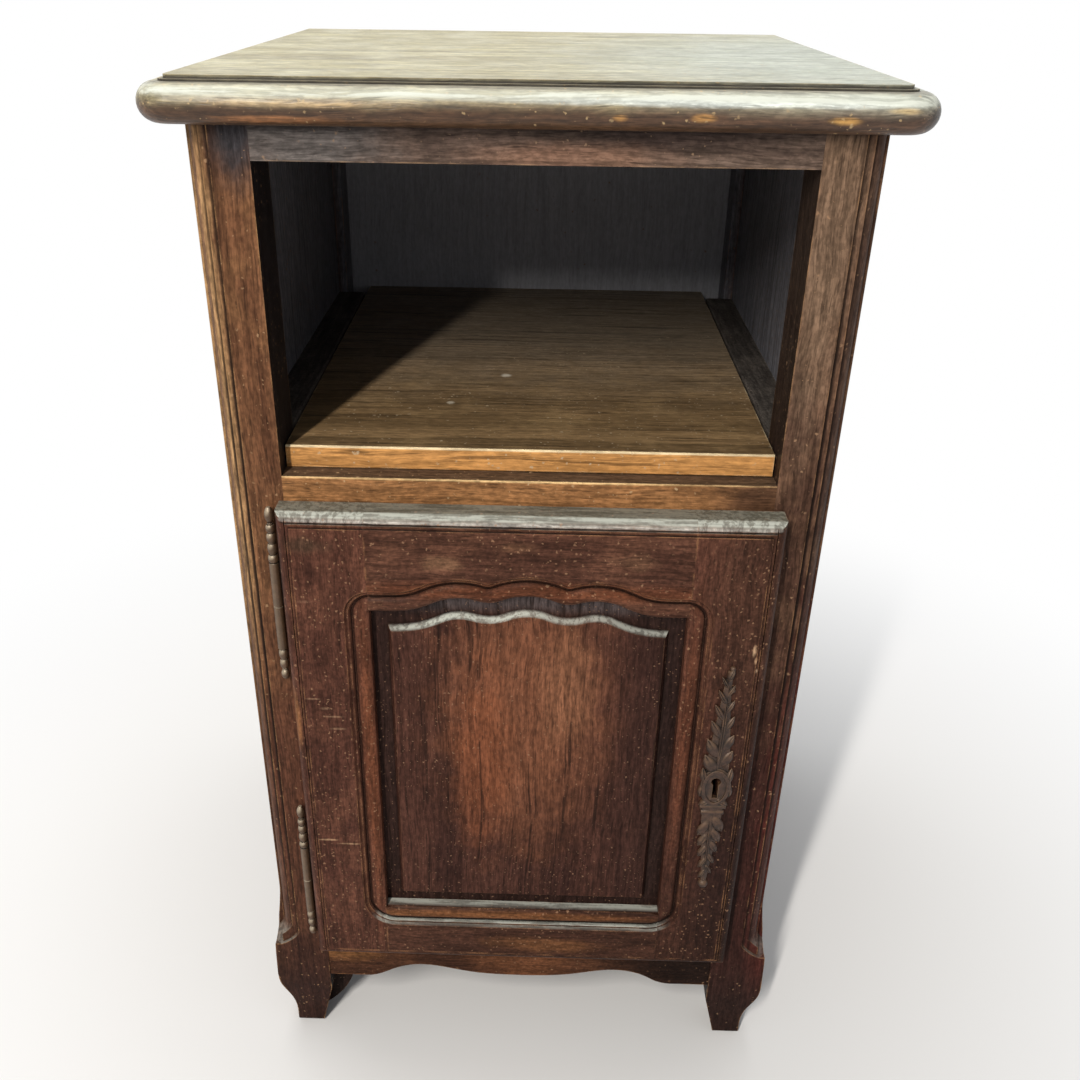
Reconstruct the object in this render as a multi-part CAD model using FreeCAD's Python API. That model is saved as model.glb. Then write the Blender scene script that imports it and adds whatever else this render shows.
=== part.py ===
import FreeCAD, Part
import math
import os

# Side cabinet with an open niche, a pull-out shelf and one hung door. Millimetres.
# Bench frame while modelling: x across the front, y is the depth behind the front
# face of the posts, z is the height above the floor. Finished pieces are moved in y
# at the end, so that the origin lies under the middle of the whole cabinet.

V = FreeCAD.Vector

# Carcase
case_width = 400.0
case_depth = 428.0
case_height = 738.0
niche_height = 193.5

# Top board
top_thickness = 24.5
top_overhang = 20.0
top_back_overhang = 3.0
top_moulding_width = 16.0
top_field_corner = 4.0
top_step_drop = 2.0
top_fillet_width = 3.0
top_quirk_drop = 1.2

# Posts
post_width = 39.3
post_depth = 44.0
rear_post_width = 23.0
rear_post_depth = 38.0
corner_round = 10.8
corner_fillet_width = 5.0
corner_fillet_depth = 1.6
corner_swell = 1.5
stop_height = 104.0
stop_length = 22.0
stop_step = 8.0
stop_margin = 0.6

# Feet of the front posts
foot_above_apron = 30.0
foot_below_door = 4.0
foot_swell = 5.5
foot_swell_height = 70.0
foot_waist = 7.0
foot_front_swell = 1.0
foot_front_waist = 2.0
foot_waist_height = 25.0
foot_taper = 9.5
foot_taper_deep = 14.0
foot_taper_height = 44.0
foot_toe_round = 4.0

# Rails
top_rail_height = 20.0
mid_rail_height = 30.0
front_rail_thickness = 22.0
apron_low = 62.0
apron_height = 58.0
apron_thickness = 20.0
apron_end_flat = 34.0
apron_peak_x = 88.0
apron_peak_rise = 14.3
apron_middle_rise = 5.2
side_top_rail_height = 40.0
side_rail_thickness = 20.0
back_rail_thickness = 20.0
back_rail_height = 30.0

# Joinery
tenon_length = 20.0
tenon_thickness = 8.0
tenon_shoulder = 4.0
side_tenon_length = 14.0
side_tenon_shoulder = 10.0
back_tenon_length = 8.0
joint_fit = 0.05
mortise_end_gap = 1.0

# Panels and boards of the carcase
side_panel_thickness = 7.0
side_panel_setback = 8.0
panel_tongue = 6.0
panel_fit = 0.2
back_panel_thickness = 6.0
back_panel_lap = 9.0
back_panel_setback = 1.0
floor_thickness = 12.0
floor_drop = 2.0
floor_fit = 0.3
cleat_width = 16.0
cleat_height = 16.0

# Pull-out shelf, its runners and guides
shelf_thickness = 15.5
shelf_setback = 14.0
shelf_side_gap = 1.0
shelf_back_gap = 1.0
shelf_running_gap = 0.3
shelf_arris = 0.8
runner_reach = 16.0
runner_thickness = 20.0
guide_height = 17.5
guide_arris = 1.5

# Small blocks glued inside
glue_block_leg = 22.0
glue_block_length = 60.0
foot_block_width = 18.0
foot_block_depth = 22.0
foot_block_low = 4.0

# Door
door_thickness = 22.0
door_gap = 0.3
door_lap_hinge_side = 3.2
door_lap_lock_side = 6.8
door_lap_top = 12.5
door_lap_bottom = 13.0
door_edge_flat = 13.0
edge_ovolo_width = 6.3
edge_ovolo_drop = 2.4
edge_fillet_width = 2.2
edge_fillet_drop = 1.1
edge_quirk = 0.9
stile_width = 58.0
door_bottom_rail = 55.0
door_shoulder_rail = 72.0
door_tenon_length = 30.0
door_tenon_setback = 8.0
door_tenon_thickness = 7.0
door_tenon_shoulder = 12.0

# Moulded line round the door panel
sticking_width = 16.5
sticking_drop = 5.0
sticking_top_corner = 18.0
sticking_low_corner = 25.0
sticking_step_drop = 2.1
sticking_step_slope = 1.5
sticking_step_flat = 1.2
sticking_quirk_width = 1.4
sticking_quirk_drop = 0.8
sticking_bead_crown = 1.6
arch_shoulder_flat = 2.0
arch_cusp_radius = 4.0

# Measures of the arch, as shares of its half width
arch_crest_rise_share = 0.1505
arch_crest_radius_share = 0.681
arch_lobe_place_share = 0.5055
arch_lobe_rise_share = 0.121
arch_lobe_radius_share = 0.626

# Raised panel of the door
panel_margin_width = 14.0
panel_top_drop = 4.0
panel_step_width = 3.0
panel_field_set = 6.8
panel_tongue_set = 13.3
panel_tongue_thickness = 4.5

# Barrel hinges
hinge_barrel_radius = 3.4
hinge_axis_gap = 6.1
hinge_axis_stand_off = 6.0
hinge_pin_radius = 2.2
hinge_fit = 0.05
hinge_split_gap = 0.3
hinge_leaf_thickness = 2.0
hinge_leaf_setback = 2.0
hinge_leaf_depth = 22.0
hinge_leaf_fit = 0.05
hinge_nail_radius = 0.8

# Lengths and places of the hinges, as shares of the door's height
hinge_half_share = 0.085
hinge_top_finial_share = 0.1025
hinge_bottom_finial_share = 0.065
hinge_pin_share = 0.065
hinge_nail_share = 0.045
hinge_inset_top_share = 0.1925
hinge_inset_low_share = 0.175

# Lock, its bolt and strike
lock_key_setback = 27.0
lock_key_drop = 5.7
lock_width = 40.0
lock_below_key = 30.0
lock_depth = 16.0
lock_wall = 2.0
lock_ear = 11.0
lock_post_clearance = 3.5
bolt_width = 6.0
bolt_height = 12.0
bolt_length = 32.0
bolt_rise = 11.7
bolt_fit = 0.3
bolt_notch = 5.0
bolt_throw = 9.0
bolt_pocket_spare = 2.5
spring_thickness = 0.8
spring_room = 5.0
strike_thickness = 1.5
strike_width = 12.0
strike_height = 46.0
keyhole_round_radius = 3.5
keyhole_slot_width = 4.0
keyhole_slot_drop = 14.7
small_screw_radius = 1.5
small_screw_head = 2.8
small_screw_length = 14.0
screw_fit = 0.05

# Escutcheon on the lock stile
plate_top_reach = 105.0
plate_bottom_reach = 99.0
plate_thickness = 1.6
plate_half_width = 12.0
plate_boss_rise = 3.2
plate_lobes = 7
plate_pin_radius = 0.7
plate_pin_length = 10.0

# Back panel nails
back_nail_radius = 0.9
back_nail_head = 2.2
back_nail_head_thickness = 0.8
back_nail_length = 16.0

# Places worked out from the sizes
half = case_width / 2
post_inner = half - post_width
rear_inner = half - rear_post_width
rear_front = case_depth - rear_post_depth
top_rail_low = case_height - top_rail_height
mid_top = top_rail_low - niche_height
mid_low = mid_top - mid_rail_height
apron_top = apron_low + apron_height
foot_height = apron_top + foot_above_apron
side_rail_inner = half - side_rail_thickness
side_panel_inner = half - side_panel_setback - side_panel_thickness
side_top_low = case_height - side_top_rail_height
back_panel_front = case_depth - back_panel_setback - back_panel_thickness
back_rail_front = back_panel_front - back_rail_thickness
floor_top = apron_top - floor_drop
floor_low = floor_top - floor_thickness
shelf_low = mid_top + shelf_running_gap
shelf_back = back_panel_front - shelf_back_gap
shelf_half = post_inner - shelf_side_gap
runner_inner = shelf_half - runner_reach
runner_low = mid_top - runner_thickness

door_left = -post_inner - door_lap_hinge_side
door_right = post_inner + door_lap_lock_side
door_middle = (door_left + door_right) / 2
door_half = (door_right - door_left) / 2
door_top = mid_low + door_lap_top
door_low = apron_top - door_lap_bottom
door_back = -door_gap
door_face = door_back - door_thickness
opening_half = door_half - stile_width
line_half = opening_half + sticking_width
line_low = door_low + door_bottom_rail - sticking_width
line_shoulder = door_top - door_shoulder_rail + sticking_width
arch_half = opening_half - panel_margin_width - arch_shoulder_flat
arch_crest_rise = arch_half * arch_crest_rise_share
arch_crest_radius = arch_half * arch_crest_radius_share
arch_lobe_x = arch_half * arch_lobe_place_share
arch_lobe_rise = arch_half * arch_lobe_rise_share
arch_lobe_radius = arch_half * arch_lobe_radius_share

hinge_x = door_left - hinge_axis_gap
hinge_y = -hinge_axis_stand_off
door_height = door_top - door_low
hinge_half_length = door_height * hinge_half_share
hinge_top_finial = door_height * hinge_top_finial_share
hinge_bottom_finial = door_height * hinge_bottom_finial_share
hinge_pin_reach = door_height * hinge_pin_share
hinge_nail_spacing = door_height * hinge_nail_share
upper_hinge_height = door_top - door_height * hinge_inset_top_share
lower_hinge_height = door_low + door_height * hinge_inset_low_share

key_x = door_right - lock_key_setback
lock_key_height = (door_low + door_top) / 2 - lock_key_drop
lock_right = post_inner - lock_post_clearance
lock_left = lock_right - lock_width
lock_back = door_back + lock_depth
bolt_low = lock_key_height - bolt_height / 2 + bolt_rise
bolt_high = bolt_low + bolt_height
lock_low = lock_key_height - lock_below_key
lock_high = bolt_high + spring_room + lock_wall
bolt_middle_y = (door_back + lock_back) / 2
bolt_middle_z = (bolt_low + bolt_high) / 2

plate_middle_z = lock_key_height + (keyhole_round_radius - keyhole_slot_drop) / 2
plate_front = door_face - plate_thickness
cabinet_front = plate_front - plate_boss_rise
cabinet_back = case_depth + top_back_overhang
bench_to_frame = V(0, -(cabinet_front + cabinet_back) / 2, 0)


def block(x, y, z):
    """A box between the low and high values of x, y and z."""
    return Part.makeBox(x[1] - x[0], y[1] - y[0], z[1] - z[0], V(x[0], y[0], z[0]))


def grown(low, high, fit):
    """A span made wider by a fit at both ends."""
    return (low - fit, high + fit)


def rod(radius, start, direction, length):
    """A round bar from a start point."""
    return Part.makeCylinder(radius, length, start, direction)


def line(start, end):
    """A straight edge."""
    return Part.LineSegment(start, end).toShape()


def arc(start, middle, end):
    """A round edge through three points."""
    return Part.Arc(start, middle, end).toShape()


def closed_wire(points):
    """A closed wire of straight lines."""
    return Part.makePolygon(points + [points[0]])


def front_prism(points, y):
    """Straight-sided outline seen from the front, carried from y[0] to y[1]."""
    wire = closed_wire([V(x, y[0], z) for x, z in points])
    return Part.Face(wire).extrude(V(0, y[1] - y[0], 0))


def mirrored(shape):
    """The same piece on the other side of the cabinet."""
    return shape.mirror(V(0, 0, 0), V(1, 0, 0))


def joined(shapes):
    """One solid from pieces that touch or overlap."""
    return shapes[0].multiFuse(shapes[1:]).removeSplitter()


def on_both_sides(shape):
    """A right-hand shape and its left-hand twin."""
    return [shape, mirrored(shape)]


# Top board: a flat field, a small sunk fillet and a half-round nose on three sides
def top_board():
    field_half = half + top_overhang - top_moulding_width
    field_front = -(top_overhang - top_moulding_width)
    back = case_depth + top_back_overhang
    top = case_height + top_thickness
    corner = top_field_corner
    bend = corner * (1 - math.sqrt(0.5))
    path = Part.Wire([
        line(V(-field_half, back, top), V(-field_half, field_front + corner, top)),
        arc(
            V(-field_half, field_front + corner, top),
            V(-field_half + bend, field_front + bend, top),
            V(-field_half + corner, field_front, top),
        ),
        line(V(-field_half + corner, field_front, top), V(field_half - corner, field_front, top)),
        arc(
            V(field_half - corner, field_front, top),
            V(field_half - bend, field_front + bend, top),
            V(field_half, field_front + corner, top),
        ),
        line(V(field_half, field_front + corner, top), V(field_half, back, top)),
    ])
    nose_top = top - top_step_drop - top_quirk_drop
    nose_radius = (nose_top - case_height) / 2
    nose_middle = case_height + nose_radius
    nose_x = -field_half - top_moulding_width + nose_radius
    inside = -field_half + corner / 2
    fillet_x = -field_half - top_fillet_width

    def at(x, z):
        return V(x, back, z)

    profile = Part.Wire([
        line(at(inside, case_height), at(inside, top - top_step_drop)),
        line(at(inside, top - top_step_drop), at(fillet_x, top - top_step_drop)),
        line(at(fillet_x, top - top_step_drop), at(fillet_x, nose_top)),
        line(at(fillet_x, nose_top), at(nose_x, nose_top)),
        arc(at(nose_x, nose_top), at(nose_x - nose_radius, nose_middle), at(nose_x, case_height)),
        line(at(nose_x, case_height), at(inside, case_height)),
    ])
    shell = Part.BRepOffsetAPI.MakePipeShell(path)
    shell.setBiNormalMode(V(0, 0, 1))
    shell.add(profile)
    shell.build()
    shell.makeSolid()
    moulding = shell.shape()
    edges = path.Edges + [line(V(field_half, back, top), V(-field_half, back, top))]
    field = Part.Face(Part.Wire(edges)).extrude(V(0, 0, -top_thickness))
    return joined([field, moulding])


# Front posts: square stock with a moulded outer corner that runs out above a shaped foot
def foot_prism(outer, inner, swell, waist, taper, start, place, reach):
    """A foot's profile between its outer and inner face, carried along the other way of the plan."""
    drop = foot_swell_height - foot_waist_height
    ankle = outer + waist
    toe = ankle + foot_toe_round
    heel = inner - taper
    toe_bend = foot_toe_round * (1 - math.sqrt(0.5))
    curve = Part.BSplineCurve()
    curve.interpolate(
        Points=[
            place(outer, start),
            place(outer - swell * 0.72, (start + foot_swell_height) / 2),
            place(outer - swell, foot_swell_height),
            place(outer - swell * 0.72, foot_swell_height - drop * 0.47),
            place(outer + waist * 0.46, foot_swell_height - drop * 0.82),
            place(ankle, foot_waist_height - drop * 0.2),
            place(ankle, foot_toe_round),
        ],
        InitialTangent=place(outer, 0) - place(outer, 1),
        FinalTangent=place(outer, 0) - place(outer, 1),
    )
    edges = [
        curve.toShape(),
        arc(place(ankle, foot_toe_round), place(ankle + toe_bend, toe_bend), place(toe, 0)),
        line(place(toe, 0), place(heel - foot_toe_round, 0)),
        arc(place(heel - foot_toe_round, 0), place(heel - toe_bend, toe_bend), place(heel, foot_toe_round)),
        line(place(heel, foot_toe_round), place(inner, foot_taper_height)),
        line(place(inner, foot_taper_height), place(inner, start)),
        line(place(inner, start), place(outer, start)),
    ]
    return Part.Face(Part.Wire(edges)).extrude(reach)


def corner_tool(width, step, low, swell=None):
    """Waste cut from the left post's outer corner, square or rounded inside, with a curved stop below."""
    clear = foot_swell + 4.0
    top = case_height + clear

    def plan(across, deep):
        return V(-half + across, deep, 0)

    if swell is None:
        inside = [line(plan(width, step), plan(step, step)), line(plan(step, step), plan(step, width))]
    else:
        belly = (width + step) / 2 - swell / math.sqrt(2)
        inside = [arc(plan(width, step), plan(belly, belly), plan(step, width))]
    outside = [
        line(plan(step, width), plan(-clear, width)),
        line(plan(-clear, width), plan(-clear, -clear)),
        line(plan(-clear, -clear), plan(width, -clear)),
        line(plan(width, -clear), plan(width, step)),
    ]
    waste = Part.Face(Part.Wire(inside + outside)).extrude(V(0, 0, top))

    depth = (width + step) / math.sqrt(2) + stop_margin
    radius = (depth ** 2 + stop_length ** 2) / (2 * depth)
    turn = math.asin(stop_length / radius) / 2
    inward = V(1, 1, 0).normalize()
    sideways = V(1, -1, 0).normalize()
    corner = V(-half, 0, 0)

    def upright(deep, height):
        return corner + inward * deep + V(0, 0, height) - sideways * (width * 2)

    full_low = low + stop_length
    bend_deep = depth - radius + radius * math.cos(turn)
    bend_rise = radius * math.sin(turn)
    outer = -clear * 2
    edges = [
        line(upright(outer, low), upright(0, low)),
        arc(upright(0, low), upright(bend_deep, full_low - bend_rise), upright(depth, full_low)),
        line(upright(depth, full_low), upright(depth, top)),
        line(upright(depth, top), upright(outer, top)),
        line(upright(outer, top), upright(outer, low)),
    ]
    reach = Part.Face(Part.Wire(edges)).extrude(sideways * (width * 4))
    return waste.common(reach)


def plain_left_post():
    outer = -half
    inner = -post_inner
    shaft = block((outer, inner), (0, post_depth), (foot_height, case_height))
    clear = foot_swell + 2.0

    def from_front(across, height):
        return V(across, -clear, height)

    def from_side(deep, height):
        return V(outer - clear, deep, height)

    front_start = door_low - foot_below_door
    front_reach = V(0, post_depth + clear * 2, 0)
    side_reach = V(post_width + clear * 2, 0, 0)
    across = foot_prism(
        outer, inner, foot_swell, foot_waist, foot_taper, foot_height, from_front, front_reach)
    along = foot_prism(
        0.0, post_depth, foot_front_swell, foot_front_waist, foot_taper_deep, front_start,
        from_side, side_reach)
    flat = block((outer - clear, inner), (0, post_depth), (front_start, foot_height))
    post = joined([shaft, across.common(joined([along, flat]))])
    fillet = corner_tool(corner_round + corner_fillet_width, corner_fillet_depth, stop_height - stop_step)
    hollow = corner_tool(corner_round, corner_fillet_depth * 2, stop_height, corner_swell)
    return post.cut(fillet).cut(hollow)


def plain_right_rear_post():
    return block((rear_inner, half), (rear_front, case_depth), (0, case_height))


# Rails: each has a tenon at both ends, and each tenon has its mortise
def cross_rail(reach, y, z, tenon, tenon_z):
    """A rail between the posts, with tenons that reach into them."""
    body = block((-reach, reach), y, z)
    middle = (y[0] + y[1]) / 2
    thick = (middle - tenon_thickness / 2, middle + tenon_thickness / 2)
    return joined([body, block((-reach - tenon, reach + tenon), thick, tenon_z)])


def cross_mortise(reach, y, tenon, tenon_z):
    """The mortise in the right-hand post for a rail between the posts."""
    middle = (y[0] + y[1]) / 2
    thick = grown(middle - tenon_thickness / 2, middle + tenon_thickness / 2, joint_fit)
    return block((reach, reach + tenon + mortise_end_gap), thick, grown(tenon_z[0], tenon_z[1], joint_fit))


def side_rail(z, tenon_z):
    """A right-hand rail from the front post to the rear post."""
    body = block((side_rail_inner, half), (post_depth, rear_front), z)
    middle = (side_rail_inner + half) / 2
    thick = (middle - tenon_thickness / 2, middle + tenon_thickness / 2)
    reach = (post_depth - side_tenon_length, rear_front + side_tenon_length)
    return joined([body, block(thick, reach, tenon_z)])


def side_mortise(tenon_z):
    """Both mortises of a right-hand side rail, as one bar."""
    middle = (side_rail_inner + half) / 2
    thick = grown(middle - tenon_thickness / 2, middle + tenon_thickness / 2, joint_fit)
    end = side_tenon_length + mortise_end_gap
    return block(thick, (post_depth - end, rear_front + end), grown(tenon_z[0], tenon_z[1], joint_fit))


front_rail_y = (0.0, front_rail_thickness)
apron_y = (0.0, apron_thickness)
back_rail_y = (back_rail_front, back_panel_front)
top_rail_z = (top_rail_low, case_height)
mid_rail_z = (mid_low, mid_top)
apron_z = (apron_low, apron_top)
back_top_z = (case_height - back_rail_height, case_height)
back_mid_z = (mid_top - back_rail_height, mid_top)
back_low_z = (apron_top - back_rail_height, apron_top)
side_top_z = (side_top_low, case_height)
side_low_z = (apron_low, apron_top)

top_tenon_z = (top_rail_low + tenon_shoulder, case_height - tenon_shoulder)
mid_tenon_z = (mid_low + tenon_shoulder, mid_top - tenon_shoulder)
apron_tenon_z = (apron_low + tenon_length, apron_top - tenon_shoulder)
side_top_tenon_z = (side_top_low + side_tenon_shoulder, case_height - side_tenon_shoulder)
side_low_tenon_z = (apron_low + side_tenon_shoulder, apron_top - side_tenon_shoulder)


def back_tenon_z(z):
    return (z[0] + tenon_shoulder, z[1] - tenon_shoulder)


def side_panel_blank(fit):
    """The right-hand side panel with its tongues, or the room for it."""
    tongue = panel_tongue + (panel_fit if fit else 0)
    return block(
        grown(side_panel_inner, side_panel_inner + side_panel_thickness, fit),
        (post_depth - tongue, rear_front + tongue),
        (apron_top - tongue, side_top_low + tongue))


def front_apron():
    """Scalloped lower front rail: two arches that meet in a drop at the middle."""
    flat_x = post_inner - apron_end_flat
    peak = apron_low + apron_peak_rise
    middle = apron_low + apron_middle_rise
    knee_x = (flat_x + apron_peak_x) / 2

    def at(x, z):
        return V(x, apron_y[0], z)

    curve = Part.BSplineCurve()
    curve.interpolate(
        Points=[
            at(-flat_x, apron_low),
            at(-knee_x, (apron_low + peak) / 2 + 0.8),
            at(-apron_peak_x, peak),
            at(-apron_peak_x / 2, (peak + middle * 2) / 3),
            at(0, middle),
            at(apron_peak_x / 2, (peak + middle * 2) / 3),
            at(apron_peak_x, peak),
            at(knee_x, (apron_low + peak) / 2 + 0.8),
            at(flat_x, apron_low),
        ],
        InitialTangent=V(1, 0, 0.1),
        FinalTangent=V(1, 0, -0.1),
    )
    edges = [
        line(at(-post_inner, apron_low), at(-flat_x, apron_low)),
        curve.toShape(),
        line(at(flat_x, apron_low), at(post_inner, apron_low)),
        line(at(post_inner, apron_low), at(post_inner, apron_top)),
        line(at(post_inner, apron_top), at(-post_inner, apron_top)),
        line(at(-post_inner, apron_top), at(-post_inner, apron_low)),
    ]
    board = Part.Face(Part.Wire(edges)).extrude(V(0, apron_thickness, 0))
    middle_y = (apron_y[0] + apron_y[1]) / 2
    thick = (middle_y - tenon_thickness / 2, middle_y + tenon_thickness / 2)
    reach = post_inner + tenon_length
    tenons = [
        block((-reach, -post_inner), thick, apron_tenon_z),
        block((post_inner, reach), thick, apron_tenon_z),
    ]
    return joined([board] + tenons)


# Hinges: two turned halves on one pin, each with a leaf let into the wood
def turned(steps, height):
    """A turned bar on the z axis from (length, neck radius, belly radius) steps."""
    edges = []
    level = height
    last = V(0, 0, level)
    for length, neck, belly in steps:
        foot = V(neck, 0, level)
        crown = V(neck, 0, level + length)
        if (foot - last).Length > 1e-6:
            edges.append(line(last, foot))
        if abs(belly - neck) < 1e-6:
            edges.append(line(foot, crown))
        else:
            edges.append(arc(foot, V(belly, 0, level + length / 2), crown))
        last = crown
        level += length
    top = V(0, 0, level)
    edges.append(line(last, top))
    edges.append(line(top, V(0, 0, height)))
    face = Part.Face(Part.Wire(edges))
    return face.revolve(V(0, 0, 0), V(0, 0, 1), 360)


def finial_steps(shares, length):
    """Turned steps of a finial from (share of the length, neck, belly) in barrel radii."""
    total = sum(share for share, neck, belly in shares)
    radius = hinge_barrel_radius
    return [(length * share / total, radius * neck, radius * belly) for share, neck, belly in shares]


top_finial_shares = [
    (4.5, 0.8, 1.08), (0.8, 0.68, 0.68), (5.5, 0.76, 1.0), (0.8, 0.66, 0.66), (5, 0.72, 0.98),
    (0.8, 0.6, 0.6), (4, 0.72, 0.94), (1, 0.56, 0.56), (8.5, 0.36, 0.92)]
bottom_finial_shares = [
    (6, 0.34, 0.9), (0.8, 0.6, 0.6), (5, 0.7, 0.96), (0.8, 0.64, 0.64), (5, 0.74, 1.0), (0.8, 0.7, 0.7)]

door_leaf_length = hinge_axis_gap + hinge_leaf_depth
post_leaf_length = hinge_axis_stand_off + hinge_leaf_depth


def hinge_pin(height):
    return rod(
        hinge_pin_radius, V(hinge_x, hinge_y, height - hinge_pin_reach), V(0, 0, 1), hinge_pin_reach * 2)


def hinge_pin_room(height):
    reach = hinge_pin_reach + hinge_split_gap
    return rod(hinge_pin_radius + hinge_fit, V(hinge_x, hinge_y, height - reach), V(0, 0, 1), reach * 2)


def door_leaf(height, fit):
    """The leaf that runs from behind the barrel into the door's edge, or the slot for it."""
    middle = hinge_y + hinge_leaf_setback
    return block(
        (hinge_x, hinge_x + door_leaf_length + fit),
        grown(middle - hinge_leaf_thickness / 2, middle + hinge_leaf_thickness / 2, fit),
        grown(height + hinge_split_gap, height + hinge_half_length, fit))


def post_leaf(height, fit):
    """The leaf that runs from the barrel into the post's face, or the slot for it."""
    return block(
        grown(hinge_x - hinge_leaf_thickness / 2, hinge_x + hinge_leaf_thickness / 2, fit),
        (hinge_y, hinge_y + post_leaf_length + fit),
        grown(height - hinge_half_length, height, fit))


def hinge_upper_half(height):
    steps = [(hinge_half_length - hinge_split_gap, hinge_barrel_radius, hinge_barrel_radius)]
    barrel = turned(steps + finial_steps(top_finial_shares, hinge_top_finial), height + hinge_split_gap)
    barrel.translate(V(hinge_x, hinge_y, 0))
    half_hinge = joined([barrel, door_leaf(height, 0)]).cut(hinge_pin_room(height))
    return half_hinge.cut(Part.makeCompound(door_nail_rods(height, screw_fit)))


def hinge_lower_half(height):
    steps = finial_steps(bottom_finial_shares, hinge_bottom_finial)
    steps = steps + [(hinge_half_length, hinge_barrel_radius, hinge_barrel_radius)]
    barrel = turned(steps, height - hinge_half_length - hinge_bottom_finial)
    barrel.translate(V(hinge_x, hinge_y, 0))
    half_hinge = joined([barrel, post_leaf(height, 0)]).cut(hinge_pin_room(height))
    return half_hinge.cut(Part.makeCompound(post_nail_rods(height, screw_fit)))


def nail_levels(middle):
    return [middle - hinge_nail_spacing / 2, middle + hinge_nail_spacing / 2]


def door_nail_rods(height, fit):
    """Nails driven from the back of the door through the leaf."""
    middle = height + hinge_half_length / 2
    x = door_left + hinge_leaf_depth * 0.6
    length = door_thickness * 0.6 + fit
    return [
        rod(hinge_nail_radius + fit, V(x, door_back, level), V(0, -1, 0), length)
        for level in nail_levels(middle)]


def post_nail_rods(height, fit):
    """Nails driven from the post's inner face through the leaf."""
    middle = height - hinge_half_length / 2
    y = hinge_leaf_depth * 0.6
    length = post_width * 0.5 + fit
    return [
        rod(hinge_nail_radius + fit, V(-post_inner, y, level), V(-1, 0, 0), length)
        for level in nail_levels(middle)]


hinge_heights = [upper_hinge_height, lower_hinge_height]


# Door: a blank with a moulded edge and an arched sticking, parted into stiles and rails
def circle_meeting(first, first_radius, second, second_radius):
    """The upper of the two points that lie at given distances from two centres."""
    gap = second - first
    along = (first_radius ** 2 - second_radius ** 2 + gap.Length ** 2) / (2 * gap.Length)
    aside = math.sqrt(first_radius ** 2 - along ** 2)
    line = V(gap).normalize()
    return first + line * along + V(-line.z, 0, line.x) * aside


def panel_line(inset, y, rounded=False, drop=0.0):
    """Closed arched outline of the door panel, moved inwards, with rounded or square corners."""
    line_base = line_shoulder - drop
    line_crest = line_base + arch_crest_rise
    line_lobe = line_base + arch_lobe_rise
    span = ((arch_half - arch_lobe_x) ** 2 + arch_lobe_rise ** 2) / (2 * arch_lobe_rise)
    hollow_radius = span - arch_lobe_radius
    crest = V(0, 0, line_crest - arch_crest_radius)
    lobe = V(arch_lobe_x, 0, line_lobe - arch_lobe_radius)
    hollow = V(arch_half, 0, line_base + hollow_radius)
    cusp = circle_meeting(
        crest, arch_crest_radius + arch_cusp_radius, lobe, arch_lobe_radius + arch_cusp_radius)

    crest_radius = arch_crest_radius - inset
    lobe_radius = arch_lobe_radius - inset
    cusp_radius = arch_cusp_radius + inset
    side = line_half - inset
    low = line_low + inset
    shoulder = line_base - inset

    def towards(start, goal, radius):
        return start + V(goal - start).normalize() * radius

    crest_top = V(0, 0, crest.z + crest_radius)
    crest_end = towards(crest, cusp, crest_radius)
    lobe_start = towards(lobe, cusp, lobe_radius)
    lobe_end = towards(lobe, hollow, lobe_radius)
    cusp_low = towards(cusp, (crest_end + lobe_start) * 0.5, cusp_radius)
    lobe_top = towards(lobe, (lobe_start + lobe_end) * 0.5, lobe_radius)
    shoulder_start = V(arch_half, 0, shoulder)
    hollow_low = towards(hollow, (lobe_end + shoulder_start) * 0.5, hollow_radius + inset)

    def at(point):
        return V(point.x + door_middle, y, point.z)

    def other(point):
        return V(-point.x, 0, point.z)

    right = [
        (crest_end, cusp_low, lobe_start),
        (lobe_start, lobe_top, lobe_end),
        (lobe_end, hollow_low, shoulder_start),
    ]
    if rounded:
        high_corner = sticking_top_corner
        low_corner = sticking_low_corner
        high_bend = high_corner * (1 - math.sqrt(0.5))
        low_bend = low_corner * (1 - math.sqrt(0.5))
        high_start = V(side - high_corner, 0, shoulder)
        high_end = V(side, 0, shoulder - high_corner)
        low_start = V(side, 0, low + low_corner)
        low_end = V(side - low_corner, 0, low)
        right += [
            (shoulder_start, None, high_start),
            (high_start, V(side - high_bend, 0, shoulder - high_bend), high_end),
            (high_end, None, low_start),
            (low_start, V(side - low_bend, 0, low + low_bend), low_end),
        ]
    else:
        right += [
            (shoulder_start, None, V(side, 0, shoulder)),
            (V(side, 0, shoulder), None, V(side, 0, low)),
        ]
    last = right[-1][2]
    left = []
    for start, middle, end in reversed(right):
        left.append((other(end), other(middle) if middle else None, other(start)))
    stretches = right + [(last, None, V(0, 0, low)), (V(0, 0, low), None, other(last))] + left
    stretches += [(other(crest_end), crest_top, crest_end)]
    edges = []
    for start, middle, end in stretches:
        if middle:
            edges.append(arc(at(start), at(middle), at(end)))
        else:
            edges.append(line(at(start), at(end)))
    return Part.Wire(edges)


def panel_prism(inset, y):
    wire = panel_line(inset, y[0])
    return Part.Face(wire).extrude(V(0, y[1] - y[0], 0))


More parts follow.
